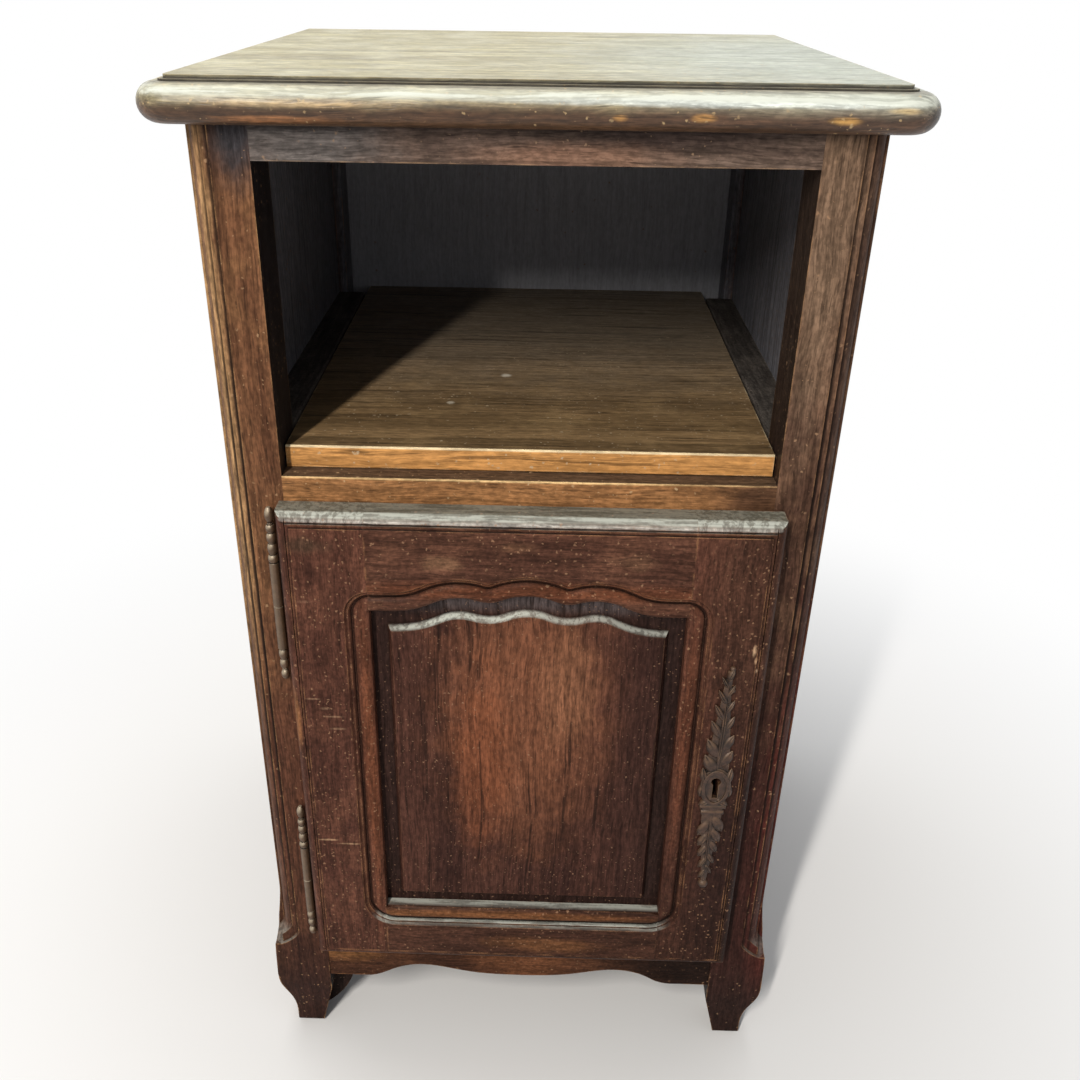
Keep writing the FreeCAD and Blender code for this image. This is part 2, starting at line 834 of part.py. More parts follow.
def sticking_waste():
    """Waste along the moulded line: two sloping steps, a quirk and a rounded bead."""
    path_edges = panel_line(0, door_face, rounded=True).Edges
    first = V(door_middle, door_face, line_low)
    turn = [(edge.firstVertex(True).Point - first).Length < 1e-6 for edge in path_edges].index(True)
    path = Part.Wire(path_edges[turn:] + path_edges[:turn])
    second_step = sticking_step_slope + sticking_step_flat
    quirk_start = second_step + sticking_step_slope
    quirk_end = quirk_start + sticking_quirk_width
    quirk_deep = sticking_step_drop * 2 + sticking_quirk_drop
    reach = sticking_width + 0.5
    proud = 2.0

    def at(inwards, deep):
        return V(door_middle, door_face + deep, line_low + inwards)

    corners = [
        (0, -proud), (0, 0), (sticking_step_slope, sticking_step_drop), (second_step, sticking_step_drop),
        (quirk_start, sticking_step_drop * 2), (quirk_start, quirk_deep), (quirk_end, quirk_deep),
        (quirk_end, sticking_step_drop * 2)]
    edges = []
    for first, second in zip(corners, corners[1:]):
        edges.append(line(at(*first), at(*second)))
    crown = at((quirk_end + reach) / 2, sticking_bead_crown)
    edges.append(arc(at(*corners[-1]), crown, at(reach, sticking_drop)))
    edges.append(line(at(reach, sticking_drop), at(reach, -proud)))
    edges.append(line(at(reach, -proud), at(0, -proud)))
    shell = Part.BRepOffsetAPI.MakePipeShell(path)
    shell.setBiNormalMode(V(0, 1, 0))
    shell.add(Part.Wire(edges))
    shell.build()
    shell.makeSolid()
    return shell.shape()


def edge_waste(origin, inward, along, length):
    """Waste of the moulded outer edge along one side of the door."""
    proud = 2.0
    quirk_end = edge_ovolo_width + edge_quirk
    width = quirk_end + edge_fillet_width
    drop = door_thickness - door_edge_flat

    def at(inwards, deep):
        return origin + inward * inwards + V(0, deep, 0) - along * proud

    edges = [
        line(at(-proud, -proud), at(-proud, drop)),
        line(at(-proud, drop), at(0, drop)),
        arc(
            at(0, drop),
            at(edge_ovolo_width * 0.3, edge_ovolo_drop + (drop - edge_ovolo_drop) * 0.3),
            at(edge_ovolo_width, edge_ovolo_drop)),
        line(at(edge_ovolo_width, edge_ovolo_drop), at(quirk_end - 0.4, edge_ovolo_drop + edge_quirk)),
        line(at(quirk_end - 0.4, edge_ovolo_drop + edge_quirk), at(quirk_end, edge_fillet_drop)),
        line(at(quirk_end, edge_fillet_drop), at(width, edge_fillet_drop)),
        line(at(width, edge_fillet_drop), at(width, -proud)),
        line(at(width, -proud), at(-proud, -proud)),
    ]
    return Part.Face(Part.Wire(edges)).extrude(along * (length + proud * 2))


def door_blank():
    width = door_right - door_left
    blank = block((door_left, door_right), (door_face, door_back), (door_low, door_top))
    low_left = V(door_left, door_face, door_low)
    low_right = V(door_right, door_face, door_low)
    high_left = V(door_left, door_face, door_top)
    wastes = [
        edge_waste(low_left, V(1, 0, 0), V(0, 0, 1), door_height),
        edge_waste(low_right, V(-1, 0, 0), V(0, 0, 1), door_height),
        edge_waste(low_left, V(0, 0, 1), V(1, 0, 0), width),
        edge_waste(high_left, V(0, 0, -1), V(1, 0, 0), width),
    ]
    for waste in wastes:
        blank = blank.cut(waste)
    through = (door_face - 1.0, door_back + 1.0)
    blank = blank.cut(panel_prism(sticking_width, through))
    blank = blank.cut(sticking_waste())
    groove_front = door_face + panel_tongue_set
    groove = grown(groove_front, groove_front + panel_tongue_thickness, panel_fit)
    return blank.cut(panel_prism(sticking_width - panel_tongue - panel_fit, groove))


def door_panel():
    """Raised panel: a flat field, a steep side down to a sunk margin, and a tongue in the groove."""
    field_inset = sticking_width + panel_margin_width
    field_y = door_face + panel_field_set
    tongue_y = door_face + panel_tongue_set
    back_y = tongue_y + panel_tongue_thickness
    foot_line = panel_line(field_inset - panel_step_width, tongue_y, drop=panel_top_drop)
    field_line = panel_line(field_inset, field_y, drop=panel_top_drop)
    field = Part.makeLoft([foot_line, field_line], True, True)
    tongue = panel_prism(sticking_width - panel_tongue, (tongue_y, back_y))
    return joined([tongue, field])


door_tenon_y = (
    door_face + door_tenon_setback,
    door_face + door_tenon_setback + door_tenon_thickness)
door_top_tenon_z = (line_shoulder, door_top - door_tenon_shoulder)
door_low_tenon_z = (door_low + door_tenon_shoulder, line_low)


def door_rail(blank, z, tenon_z):
    left = door_middle - opening_half
    right = door_middle + opening_half
    body = blank.common(block((left, right), (door_face - 1, door_back + 1), z))
    reach = door_tenon_length
    tenons = [
        block((left - reach, left + joint_fit), door_tenon_y, tenon_z),
        block((right - joint_fit, right + reach), door_tenon_y, tenon_z),
    ]
    return joined([body] + tenons)


def door_mortise(tenon_z):
    reach = opening_half + door_tenon_length + mortise_end_gap
    return block(
        (door_middle - reach, door_middle + reach),
        grown(door_tenon_y[0], door_tenon_y[1], joint_fit),
        grown(tenon_z[0], tenon_z[1], joint_fit))


def door_stile(blank, x):
    stile = blank.common(block(x, (door_face - 1, door_back + 1), (door_low - 1, door_top + 1)))
    return stile.cut(door_mortise(door_top_tenon_z)).cut(door_mortise(door_low_tenon_z))


def keyhole(y):
    """Round hole with a slot below it, from y[0] to y[1]."""
    length = y[1] - y[0]
    hole = rod(keyhole_round_radius, V(key_x, y[0], lock_key_height), V(0, 1, 0), length)
    slot = block(
        (key_x - keyhole_slot_width / 2, key_x + keyhole_slot_width / 2), y,
        (lock_key_height - keyhole_slot_drop, lock_key_height))
    return hole.fuse(slot)


# Rim lock on the back of the door, with a sliding bolt
cavity_x = (lock_left + lock_wall, lock_right - lock_wall)
cavity_y = (door_back + lock_wall, lock_back - lock_wall)
cavity_z = (lock_low + lock_wall, lock_high - lock_wall)
ear_z = (lock_low - lock_ear, lock_high + lock_ear)
bolt_y = (bolt_middle_y - bolt_width / 2, bolt_middle_y + bolt_width / 2)
bolt_z = (bolt_low, bolt_high)


def lock_screw_places():
    """The four screws through the lock's ears."""
    places = []
    for x in (lock_left + lock_ear / 2, lock_right - lock_ear / 2):
        for z in (ear_z[0] + lock_ear / 2, ear_z[1] - lock_ear / 2):
            places.append((V(x, door_back + lock_wall, z), V(0, -1, 0)))
    return places


def strike_screw_places():
    """The two screws through the strike plate into the post."""
    offset = strike_height / 2 - lock_ear / 2
    return [
        (V(post_inner, bolt_middle_y, bolt_middle_z - offset), V(1, 0, 0)),
        (V(post_inner, bolt_middle_y, bolt_middle_z + offset), V(1, 0, 0)),
    ]


def small_screw(place, fit):
    """A countersunk screw whose head is flush with its seat, or the hole for it."""
    point, direction = place
    head_length = small_screw_head - small_screw_radius
    head = Part.makeCone(
        small_screw_head + fit, small_screw_radius + fit, head_length, point, direction)
    shank = rod(small_screw_radius + fit, point, direction, small_screw_length + fit)
    return head.fuse(shank).removeSplitter()


def screws(places):
    return Part.makeCompound([small_screw(place, 0) for place in places])


def screw_holes(places):
    return Part.makeCompound([small_screw(place, screw_fit) for place in places])


def lock_case():
    shell = block((lock_left, lock_right), (door_back, cavity_y[1]), (lock_low, lock_high))
    ears = block((lock_left, lock_right), (door_back, door_back + lock_wall), ear_z)
    case = joined([shell, ears])
    case = case.cut(block(cavity_x, (cavity_y[0], lock_back), cavity_z))
    mouth = block(
        (cavity_x[1] - 1, lock_right + 1),
        grown(bolt_y[0], bolt_y[1], bolt_fit), grown(bolt_z[0], bolt_z[1], bolt_fit))
    case = case.cut(mouth).cut(keyhole((door_back - 1, cavity_y[0] + 1)))
    return case.cut(screw_holes(lock_screw_places()))


def lock_cover():
    return block((lock_left, lock_right), (cavity_y[1], lock_back), (lock_low, lock_high))


def lock_bolt():
    bar = block((lock_right - bolt_length, lock_right), bolt_y, bolt_z)
    notch_middle = lock_right - bolt_length / 2
    notch = block(
        (notch_middle - bolt_notch / 2, notch_middle + bolt_notch / 2),
        (bolt_y[0] - 1, bolt_y[1] + 1), (bolt_low - 1, bolt_low + bolt_notch))
    return bar.cut(notch)


def bolt_spring():
    """A leaf under the lock's top wall, bowed down towards the bolt."""
    high = cavity_z[1]
    low = bolt_high + bolt_fit
    left = cavity_x[0]
    right = lock_right - lock_wall - bolt_throw
    middle = (left + right) / 2
    across = (bolt_middle_y - bolt_width / 4, bolt_middle_y + bolt_width / 4)

    def at(x, z):
        return V(x, across[0], z)

    edges = [
        arc(at(left, high), at(middle, low + spring_thickness), at(right, high)),
        line(at(right, high), at(right, high - spring_thickness)),
        arc(at(right, high - spring_thickness), at(middle, low), at(left, high - spring_thickness)),
        line(at(left, high - spring_thickness), at(left, high)),
    ]
    return Part.Face(Part.Wire(edges)).extrude(V(0, across[1] - across[0], 0))


def strike_blank(fit):
    return block(
        (post_inner, post_inner + strike_thickness + fit),
        grown(bolt_middle_y - strike_width / 2, bolt_middle_y + strike_width / 2, fit),
        grown(bolt_middle_z - strike_height / 2, bolt_middle_z + strike_height / 2, fit))


def bolt_pocket():
    """The hole in the strike and post that takes the thrown bolt."""
    depth = bolt_throw - lock_post_clearance + bolt_pocket_spare
    return block(
        (post_inner - 1, post_inner + depth),
        grown(bolt_y[0], bolt_y[1], bolt_fit * 2), grown(bolt_z[0], bolt_z[1], bolt_fit * 2))


# Escutcheon: a leafy pierced plate with a raised boss round the keyhole
def escutcheon():
    middle_z = plate_middle_z
    boss = rod(plate_half_width, V(key_x, door_face, middle_z), V(0, -1, 0), plate_thickness)
    lip_radius = plate_half_width * 0.86
    lip = rod(lip_radius, V(key_x, door_face, middle_z), V(0, -1, 0), plate_thickness + plate_boss_rise)
    pieces = [boss, lip]
    for sign, reach in ((1, plate_top_reach), (-1, plate_bottom_reach)):
        step = (reach - plate_half_width) / plate_lobes
        for i in range(plate_lobes):
            share = i / plate_lobes
            radius = plate_half_width * (0.78 - 0.5 * share) + 0.6
            sway = plate_half_width * (0.22 if i % 2 else -0.22) * sign
            z = middle_z + sign * (plate_half_width * 0.8 + step * (i + 0.3))
            rise = plate_thickness + plate_boss_rise * (0.7 - 0.5 * share)
            pieces.append(rod(radius, V(key_x + sway, door_face, z), V(0, -1, 0), rise))
        tip = middle_z + sign * reach
        root = middle_z + sign * plate_half_width * 0.5
        wide = plate_half_width * 0.5
        pieces.append(front_prism(
            [(key_x - wide, root), (key_x + wide, root), (key_x + 0.8, tip), (key_x - 0.8, tip)],
            (plate_front, door_face)))
    plate = joined(pieces)
    plate = plate.cut(keyhole((cabinet_front - 1, door_face + 1)))
    return plate.cut(Part.makeCompound(plate_pins(screw_fit)))


def plate_pins(fit):
    """Fine nails through the plate's two ends, or the holes for them."""
    front = cabinet_front if fit else plate_front
    length = door_face - front + plate_pin_length + fit
    pins = []
    for sign, reach in ((1, plate_top_reach), (-1, plate_bottom_reach)):
        for share in (0.35, 0.8):
            point = V(key_x, front, plate_middle_z + sign * reach * share)
            pins.append(rod(plate_pin_radius + fit, point, V(0, 1, 0), length))
    return pins


# Shelf, runners, guides, floor, cleats and blocks
def pull_out_shelf():
    thick = (shelf_low, shelf_low + shelf_thickness)
    board = block((-shelf_half, shelf_half), (shelf_setback, shelf_back), thick)
    front_edges = [
        edge for edge in board.Edges
        if abs(edge.BoundBox.YMax - shelf_setback) < 1e-6 and edge.BoundBox.XLength > shelf_half]
    return board.makeChamfer(shelf_arris, front_edges)


def shelf_runner():
    """Right-hand runner under the shelf's edge, notched round the posts."""
    thick = (runner_low, mid_top)
    wide = block((runner_inner, side_panel_inner), (post_depth, rear_front), thick)
    tongue = block((runner_inner, post_inner), (front_rail_thickness, back_rail_front), thick)
    return joined([wide, tongue])


def shelf_guide():
    """Right-hand strip beside the shelf, with its inner arris rounded."""
    high = (mid_top, mid_top + guide_height)
    strip = block((post_inner, side_panel_inner), (post_depth, rear_front), high)
    arris = [
        edge for edge in strip.Edges
        if edge.BoundBox.XMax < post_inner + 1e-3 and edge.BoundBox.ZMin > high[1] - 1e-3]
    return strip.makeFillet(guide_arris, arris)


def cupboard_floor():
    """Loose floor board, notched round the four posts."""
    thick = (floor_low, floor_top)
    board = block((-side_rail_inner, side_rail_inner), (apron_thickness, back_rail_front), thick)
    front_corner = block((post_inner - floor_fit, half), (0, post_depth + floor_fit), thick)
    rear_corner = block((rear_inner - floor_fit, half), (rear_front - floor_fit, case_depth), thick)
    for corner in on_both_sides(front_corner) + on_both_sides(rear_corner):
        board = board.cut(corner)
    return board


def floor_cleat():
    return block(
        (side_rail_inner - cleat_width, side_rail_inner), (post_depth, rear_front),
        (floor_low - cleat_height, floor_low))


def back_panel_blank(fit):
    """The thin board across the back, or the rebate for it."""
    reach = rear_inner + back_panel_lap + fit
    back = case_depth if fit else back_panel_front + back_panel_thickness
    return block((-reach, reach), (back_panel_front, back), (back_low_z[0] - fit, case_height))


def back_nails(fit):
    """Nails through the back panel into the three back rails."""
    nails = []
    outside = back_panel_front + back_panel_thickness
    for z in (back_top_z, back_mid_z, back_low_z):
        for share in (-0.8, 0, 0.8):
            point = V(rear_inner * share, outside, (z[0] + z[1]) / 2)
            shank = rod(back_nail_radius + fit, point, V(0, -1, 0), back_nail_length + fit)
            if fit:
                nails.append(shank)
            else:
                head = rod(back_nail_head, point, V(0, 1, 0), back_nail_head_thickness)
                nails.append(shank.fuse(head).removeSplitter())
    return nails


def glue_blocks():
    """Three-cornered blocks in the angle between the top and the rails."""
    leg = glue_block_leg
    length = glue_block_length
    blocks = []
    for share in (0.3, 0.7):
        start = post_depth + (rear_front - post_depth) * share - length / 2
        wire = closed_wire([
            V(side_rail_inner, start, case_height),
            V(side_rail_inner - leg, start, case_height),
            V(side_rail_inner, start, case_height - leg)])
        blocks += on_both_sides(Part.Face(wire).extrude(V(0, length, 0)))
    front = front_rail_thickness
    low = case_height - top_rail_height
    wire = closed_wire([
        V(-length / 2, front, case_height),
        V(-length / 2, front + leg, case_height),
        V(-length / 2, front, low)])
    blocks.append(Part.Face(wire).extrude(V(length, 0, 0)))
    return blocks


def foot_block():
    """Curved block glued behind the apron, against the left foot."""
    taper = foot_taper / (foot_taper_height - foot_toe_round)
    low_x = -post_inner - taper * (foot_taper_height - foot_block_low)
    y = (apron_thickness, apron_thickness + foot_block_depth)
    top = floor_low - cleat_height
    inner_x = -post_inner + foot_block_width
    bend_x = (low_x + inner_x) / 2 + foot_block_width * 0.24
    bend_z = foot_block_low + (apron_low - foot_block_low) * 0.36

    def at(x, z):
        return V(x, y[0], z)

    edges = [
        line(at(-post_inner, top), at(-post_inner, foot_taper_height)),
        line(at(-post_inner, foot_taper_height), at(low_x, foot_block_low)),
        arc(at(low_x, foot_block_low), at(bend_x, bend_z), at(inner_x, apron_low)),
        line(at(inner_x, apron_low), at(inner_x, top)),
        line(at(inner_x, top), at(-post_inner, top)),
    ]
    return Part.Face(Part.Wire(edges)).extrude(V(0, y[1] - y[0], 0))


# Assembly of the carcase
front_top_rail = cross_rail(post_inner, front_rail_y, top_rail_z, tenon_length, top_tenon_z)
front_mid_rail = cross_rail(post_inner, front_rail_y, mid_rail_z, tenon_length, mid_tenon_z)
back_rail_heights = {"back_top_rail": back_top_z, "back_mid_rail": back_mid_z, "back_bottom_rail": back_low_z}
back_rails = {}
for name, z in back_rail_heights.items():
    rail = cross_rail(rear_inner, back_rail_y, z, back_tenon_length, back_tenon_z(z))
    back_rails[name] = rail.cut(Part.makeCompound(back_nails(screw_fit)))

front_mortises = [
    cross_mortise(post_inner, front_rail_y, tenon_length, top_tenon_z),
    cross_mortise(post_inner, front_rail_y, tenon_length, mid_tenon_z),
    cross_mortise(post_inner, apron_y, tenon_length, apron_tenon_z),
]
side_wastes = [side_mortise(side_top_tenon_z), side_mortise(side_low_tenon_z), side_panel_blank(panel_fit)]
rear_mortises = [
    cross_mortise(rear_inner, back_rail_y, back_tenon_length, back_tenon_z(z))
    for z in (back_top_z, back_mid_z, back_low_z)]

front_post_right = mirrored(plain_left_post())
for waste in front_mortises + side_wastes:
    front_post_right = front_post_right.cut(waste)
front_post_left = mirrored(front_post_right)
for height in hinge_heights:
    front_post_left = front_post_left.cut(post_leaf(height, hinge_leaf_fit))
    front_post_left = front_post_left.cut(Part.makeCompound(post_nail_rods(height, screw_fit)))
for waste in (strike_blank(joint_fit), bolt_pocket(), screw_holes(strike_screw_places())):
    front_post_right = front_post_right.cut(waste)

rear_post_right = plain_right_rear_post()
for waste in rear_mortises + side_wastes + [back_panel_blank(panel_fit)]:
    rear_post_right = rear_post_right.cut(waste)

side_top_rail_right = side_rail(side_top_z, side_top_tenon_z).cut(side_panel_blank(panel_fit))
side_bottom_rail_right = side_rail(side_low_z, side_low_tenon_z).cut(side_panel_blank(panel_fit))
side_panel_right = side_panel_blank(0)

# Assembly of the door
blank = door_blank()
hinge_stile = door_stile(blank, (door_left - 1, door_middle - opening_half))
lock_stile = door_stile(blank, (door_middle + opening_half, door_right + 1))
for height in hinge_heights:
    hinge_stile = hinge_stile.cut(door_leaf(height, hinge_leaf_fit))
    hinge_stile = hinge_stile.cut(Part.makeCompound(door_nail_rods(height, screw_fit)))
lock_stile = lock_stile.cut(keyhole((door_face - 1, door_back + 1)))
lock_stile = lock_stile.cut(screw_holes(lock_screw_places()))
lock_stile = lock_stile.cut(Part.makeCompound(plate_pins(screw_fit)))
panel_middle = (line_low + line_shoulder) / 2

strike_plate = strike_blank(0).cut(bolt_pocket()).cut(screw_holes(strike_screw_places()))

nodes = {
    "top_board": top_board(),
    "front_post_left": front_post_left,
    "front_post_right": front_post_right,
    "rear_post_left": mirrored(rear_post_right),
    "rear_post_right": rear_post_right,
    "front_top_rail": front_top_rail,
    "front_mid_rail": front_mid_rail,
    "front_apron": front_apron(),
    "side_top_rail_left": mirrored(side_top_rail_right),
    "side_top_rail_right": side_top_rail_right,
    "side_bottom_rail_left": mirrored(side_bottom_rail_right),
    "side_bottom_rail_right": side_bottom_rail_right,
    "side_panel_left": mirrored(side_panel_right),
    "side_panel_right": side_panel_right,
    "back_panel": back_panel_blank(0).cut(Part.makeCompound(back_nails(screw_fit))),
    "back_panel_nails": Part.makeCompound(back_nails(0)),
    "shelf_runner_left": mirrored(shelf_runner()),
    "shelf_runner_right": shelf_runner(),
    "shelf_guide_left": mirrored(shelf_guide()),
    "shelf_guide_right": shelf_guide(),
    "cupboard_floor": cupboard_floor(),
    "floor_cleat_left": mirrored(floor_cleat()),
    "floor_cleat_right": floor_cleat(),
    "top_glue_blocks": Part.makeCompound(glue_blocks()),
    "foot_block_left": foot_block(),
    "hinge_post_half_upper": hinge_lower_half(upper_hinge_height),
    "hinge_post_half_lower": hinge_lower_half(lower_hinge_height),
    "hinge_pins": Part.makeCompound([hinge_pin(height) for height in hinge_heights]),
    "hinge_post_nails": Part.makeCompound(
        [nail for height in hinge_heights for nail in post_nail_rods(height, 0)]),
    "strike_plate": strike_plate,
    "strike_screws": screws(strike_screw_places()),
    "pull_out_shelf": pull_out_shelf(),
    "door_hinge_stile": hinge_stile,
    "door_lock_stile": lock_stile,
    "door_top_rail": door_rail(blank, (panel_middle, door_top + 1), door_top_tenon_z),
    "door_bottom_rail": door_rail(blank, (door_low - 1, panel_middle), door_low_tenon_z),
    "door_panel": door_panel(),
    "hinge_door_half_upper": hinge_upper_half(upper_hinge_height),
    "hinge_door_half_lower": hinge_upper_half(lower_hinge_height),
    "hinge_door_nails": Part.makeCompound(
        [nail for height in hinge_heights for nail in door_nail_rods(height, 0)]),
    "escutcheon": escutcheon(),
    "escutcheon_pins": Part.makeCompound(plate_pins(0)),
    "lock_case": lock_case(),
    "lock_cover": lock_cover(),
    "lock_screws": screws(lock_screw_places()),
    "bolt_spring": bolt_spring(),
    "lock_bolt": lock_bolt(),
}
nodes.update(back_rails)

os.makedirs("parts", exist_ok=True)
for name, shape in nodes.items():
    placed = shape.copy()
    placed.translate(bench_to_frame)
    placed.exportStep("parts/" + name + ".step")
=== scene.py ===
import math

import bpy
from mathutils import Matrix, Vector


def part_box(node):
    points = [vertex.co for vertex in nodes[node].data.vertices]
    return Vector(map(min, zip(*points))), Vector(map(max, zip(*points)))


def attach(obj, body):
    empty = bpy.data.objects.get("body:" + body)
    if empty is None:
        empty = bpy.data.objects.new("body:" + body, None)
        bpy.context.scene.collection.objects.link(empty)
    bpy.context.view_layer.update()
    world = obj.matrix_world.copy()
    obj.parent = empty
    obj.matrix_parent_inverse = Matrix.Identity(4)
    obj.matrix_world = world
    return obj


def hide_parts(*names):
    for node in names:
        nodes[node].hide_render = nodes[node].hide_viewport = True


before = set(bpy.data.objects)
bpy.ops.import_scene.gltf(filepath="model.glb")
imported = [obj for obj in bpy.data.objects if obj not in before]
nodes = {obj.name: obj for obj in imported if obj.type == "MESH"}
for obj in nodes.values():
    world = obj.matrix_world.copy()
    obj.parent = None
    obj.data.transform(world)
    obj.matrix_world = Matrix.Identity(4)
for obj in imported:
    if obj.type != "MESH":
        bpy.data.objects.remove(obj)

bpy.context.view_layer.update()


# Front posts: two wooden uprights, stained dark and varnished, each in one piece with its foot. The
# rails are tenoned into them. Their moulded outer corners are rubbed back to golden wood, the left one
# brightened further as painted light and the right one darkened as painted shade. The posts are lighter
# near the top and nearly black at the feet, with a painted shadow under the top board and painted shade
# on their faces towards the niche.
def srgb(red, green, blue):
    """A colour as a painter's chart gives it, 0 to 255, turned into the shader's own values."""
    linear = []
    for part in (red, green, blue):
        part = part / 255
        linear.append(part / 12.92 if part < 0.04045 else ((part + 0.055) / 1.055) ** 2.4)
    return (*linear, 1.0)


def add(tree, kind, inputs=None, **options):
    """Adds one shader node, sets its options and fills its inputs with plain values or links."""
    made = tree.nodes.new("ShaderNode" + kind)
    for name, value in options.items():
        setattr(made, name, value)
    for name, value in (inputs or {}).items():
        if isinstance(value, bpy.types.NodeSocket):
            tree.links.new(value, made.inputs[name])
        else:
            made.inputs[name].default_value = value
    return made


def sums(tree, operation, first, second=0.0, third=0.0):
    """One step of arithmetic on values that change over the surface."""
    return add(tree, "Math", {0: first, 1: second, 2: third}, operation=operation).outputs[0]


def times(tree, first, second):
    """Two values multiplied."""
    return sums(tree, "MULTIPLY", first, second)


def vectors(tree, operation, first, second):
    """One step of arithmetic on two vectors."""
    return add(tree, "VectorMath", {0: first, 1: second}, operation=operation).outputs[0]


def scaled(tree, vector, scale):
    """A vector made longer or shorter."""
    return add(tree, "VectorMath", {0: vector, "Scale": scale}, operation="SCALE").outputs[0]


def ranged(tree, value, low, high, bottom=0.0, top=1.0):
    """Stretches a value's middle range to a mask with soft ends."""
    inputs = {"Value": value, "From Min": low, "From Max": high, "To Min": bottom, "To Max": top}
    return add(tree, "MapRange", inputs, interpolation_type="SMOOTHSTEP").outputs["Result"]


def mixed(tree, share, first, second, way="MIX"):
    """Lays a second colour over a first by a share."""
    inputs = {0: share, 6: first, 7: second}
    return add(tree, "Mix", inputs, data_type="RGBA", blend_type=way).outputs[2]


def noise(tree, vector, scale, detail, roughness=0.5):
    """The outputs of one cloudy noise."""
    inputs = {"Vector": vector, "Scale": scale, "Detail": detail, "Roughness": roughness}
    return add(tree, "TexNoise", inputs).outputs


def new_group(name, inputs, outputs):
    """An empty shader node group with named sockets."""
    group = bpy.data.node_groups.new(name, "ShaderNodeTree")
    for socket, kind, start in inputs:
        made = group.interface.new_socket(socket, in_out="INPUT", socket_type="NodeSocket" + kind)
        if start is not None:
            made.default_value = start
    for socket in outputs:
        kind = "NodeSocketVector" if socket == "Normal" else "NodeSocketFloat"
        group.interface.new_socket(socket, in_out="OUTPUT", socket_type=kind)
    entry = group.nodes.new("NodeGroupInput")
    leave = group.nodes.new("NodeGroupOutput")
    return group, entry.outputs, leave.inputs


def use_group(tree, group, inputs):
    """Places a shared node group in a material with its own values."""
    return add(tree, "Group", inputs, node_tree=group).outputs


MIDDLE_GREY = (0.5, 0.5, 0.5)


def wood_grain_group():
    """Figure, streaks, fibres, dark lines and open pores along the vector's z, and a fine mottle."""
    inputs = [("Vector", "Vector", None), ("Length", "Float", 1.0)]
    outputs = ["Figure", "Streak", "Fibre", "Lines", "Pores", "Mottle"]
    group, given, result = new_group("wood_grain", inputs, outputs)
    sway = noise(group, given["Vector"], 9.0, 3.0)["Color"]
    centred = vectors(group, "SUBTRACT", sway, MIDDLE_GREY)
    gentle = vectors(group, "MULTIPLY", centred, (0.012, 0.012, 0.0))
    bent = vectors(group, "ADD", given["Vector"], gentle)

    def layer(stretch, scale, detail, low, high, output):
        """One noise stretched along the grain, as a mask."""
        along = sums(group, "DIVIDE", stretch, given["Length"])
        pulled = add(group, "CombineXYZ", {0: 1.0, 1: 1.0, 2: along}).outputs[0]
        drawn = vectors(group, "MULTIPLY", bent, pulled)
        cloudy = noise(group, drawn, scale, detail, 0.6)["Fac"]
        group.links.new(ranged(group, cloudy, low, high), result[output])

    layer(0.07, 38.0, 5.0, 0.33, 0.67, "Figure")
    layer(0.09, 300.0, 4.0, 0.32, 0.68, "Streak")
    layer(0.12, 1000.0, 2.0, 0.3, 0.7, "Fibre")
    layer(0.03, 260.0, 2.0, 0.58, 0.68, "Lines")
    layer(0.13, 820.0, 1.0, 0.6, 0.72, "Pores")
    layer(0.8, 420.0, 5.0, 0.3, 0.7, "Mottle")
    return group


def flecks_group():
    """Small pale specks of bare wood and wax, of mixed size and in clusters, a share of them shown."""
    inputs = [
        ("Vector", "Vector", None), ("Scale", "Float", 130.0), ("Size", "Float", 0.16),
        ("Share", "Float", 0.4)]
    group, given, result = new_group("flecks", inputs, ["Flecks"])
    rough = noise(group, given["Vector"], 420.0, 2.0)["Color"]
    centred = vectors(group, "SUBTRACT", rough, MIDDLE_GREY)
    moved = vectors(group, "ADD", given["Vector"], scaled(group, centred, 0.0032))
    cells = add(group, "TexVoronoi", {"Vector": moved, "Scale": given["Scale"]}).outputs
    chance = add(group, "SeparateColor", {"Color": cells["Color"]}).outputs
    size = times(group, given["Size"], ranged(group, chance["Green"], 0.0, 1.0, 0.5, 1.4))
    spot = ranged(group, cells["Distance"], times(group, size, 0.4), size, 1.0, 0.0)
    shown = sums(group, "LESS_THAN", chance["Red"], given["Share"])
    patchy = noise(group, given["Vector"], 16.0, 2.0)["Fac"]
    spread = ranged(group, patchy, 0.36, 0.56, 0.25, 1.0)
    flecks = times(group, times(group, spot, shown), spread)
    group.links.new(flecks, result["Flecks"])
    return group


def edges_group():
    """Rubbed outer edges, grime and painted shade in the quirks, and edges softly rounded where they catch
    light.
    """
    edge_radius = 0.0004
    inputs = [("Vector", "Vector", None), ("Rub", "Float", 0.0018)]
    group, given, result = new_group("rubbed_edges", inputs, ["Wear", "Grime_and_shade", "Normal"])
    flat = add(group, "NewGeometry").outputs["Normal"]
    rounded = add(group, "Bevel", {"Radius": edge_radius}, samples=6).outputs[0]
    rubbed = add(group, "Bevel", {"Radius": given["Rub"]}, samples=6).outputs[0]
    turned = add(group, "VectorMath", {0: rubbed, 1: flat}, operation="DOT_PRODUCT").outputs["Value"]
    edge = ranged(group, turned, 0.995, 0.86)
    hollow = add(group, "AmbientOcclusion", {"Distance": 0.004}, only_local=True, samples=8).outputs["AO"]
    open_side = ranged(group, hollow, 0.7, 0.95)
    broken = noise(group, given["Vector"], 55.0, 5.0, 0.7)["Fac"]
    patches = ranged(group, broken, 0.4, 0.66)
    wear = times(group, times(group, edge, open_side), patches)
    group.links.new(wear, result["Wear"])
    # Grime and painted shade: the more closed in a place is, the darker it is made
    group.links.new(ranged(group, hollow, 0.94, 0.52), result["Grime_and_shade"])
    group.links.new(rounded, result["Normal"])
    return group


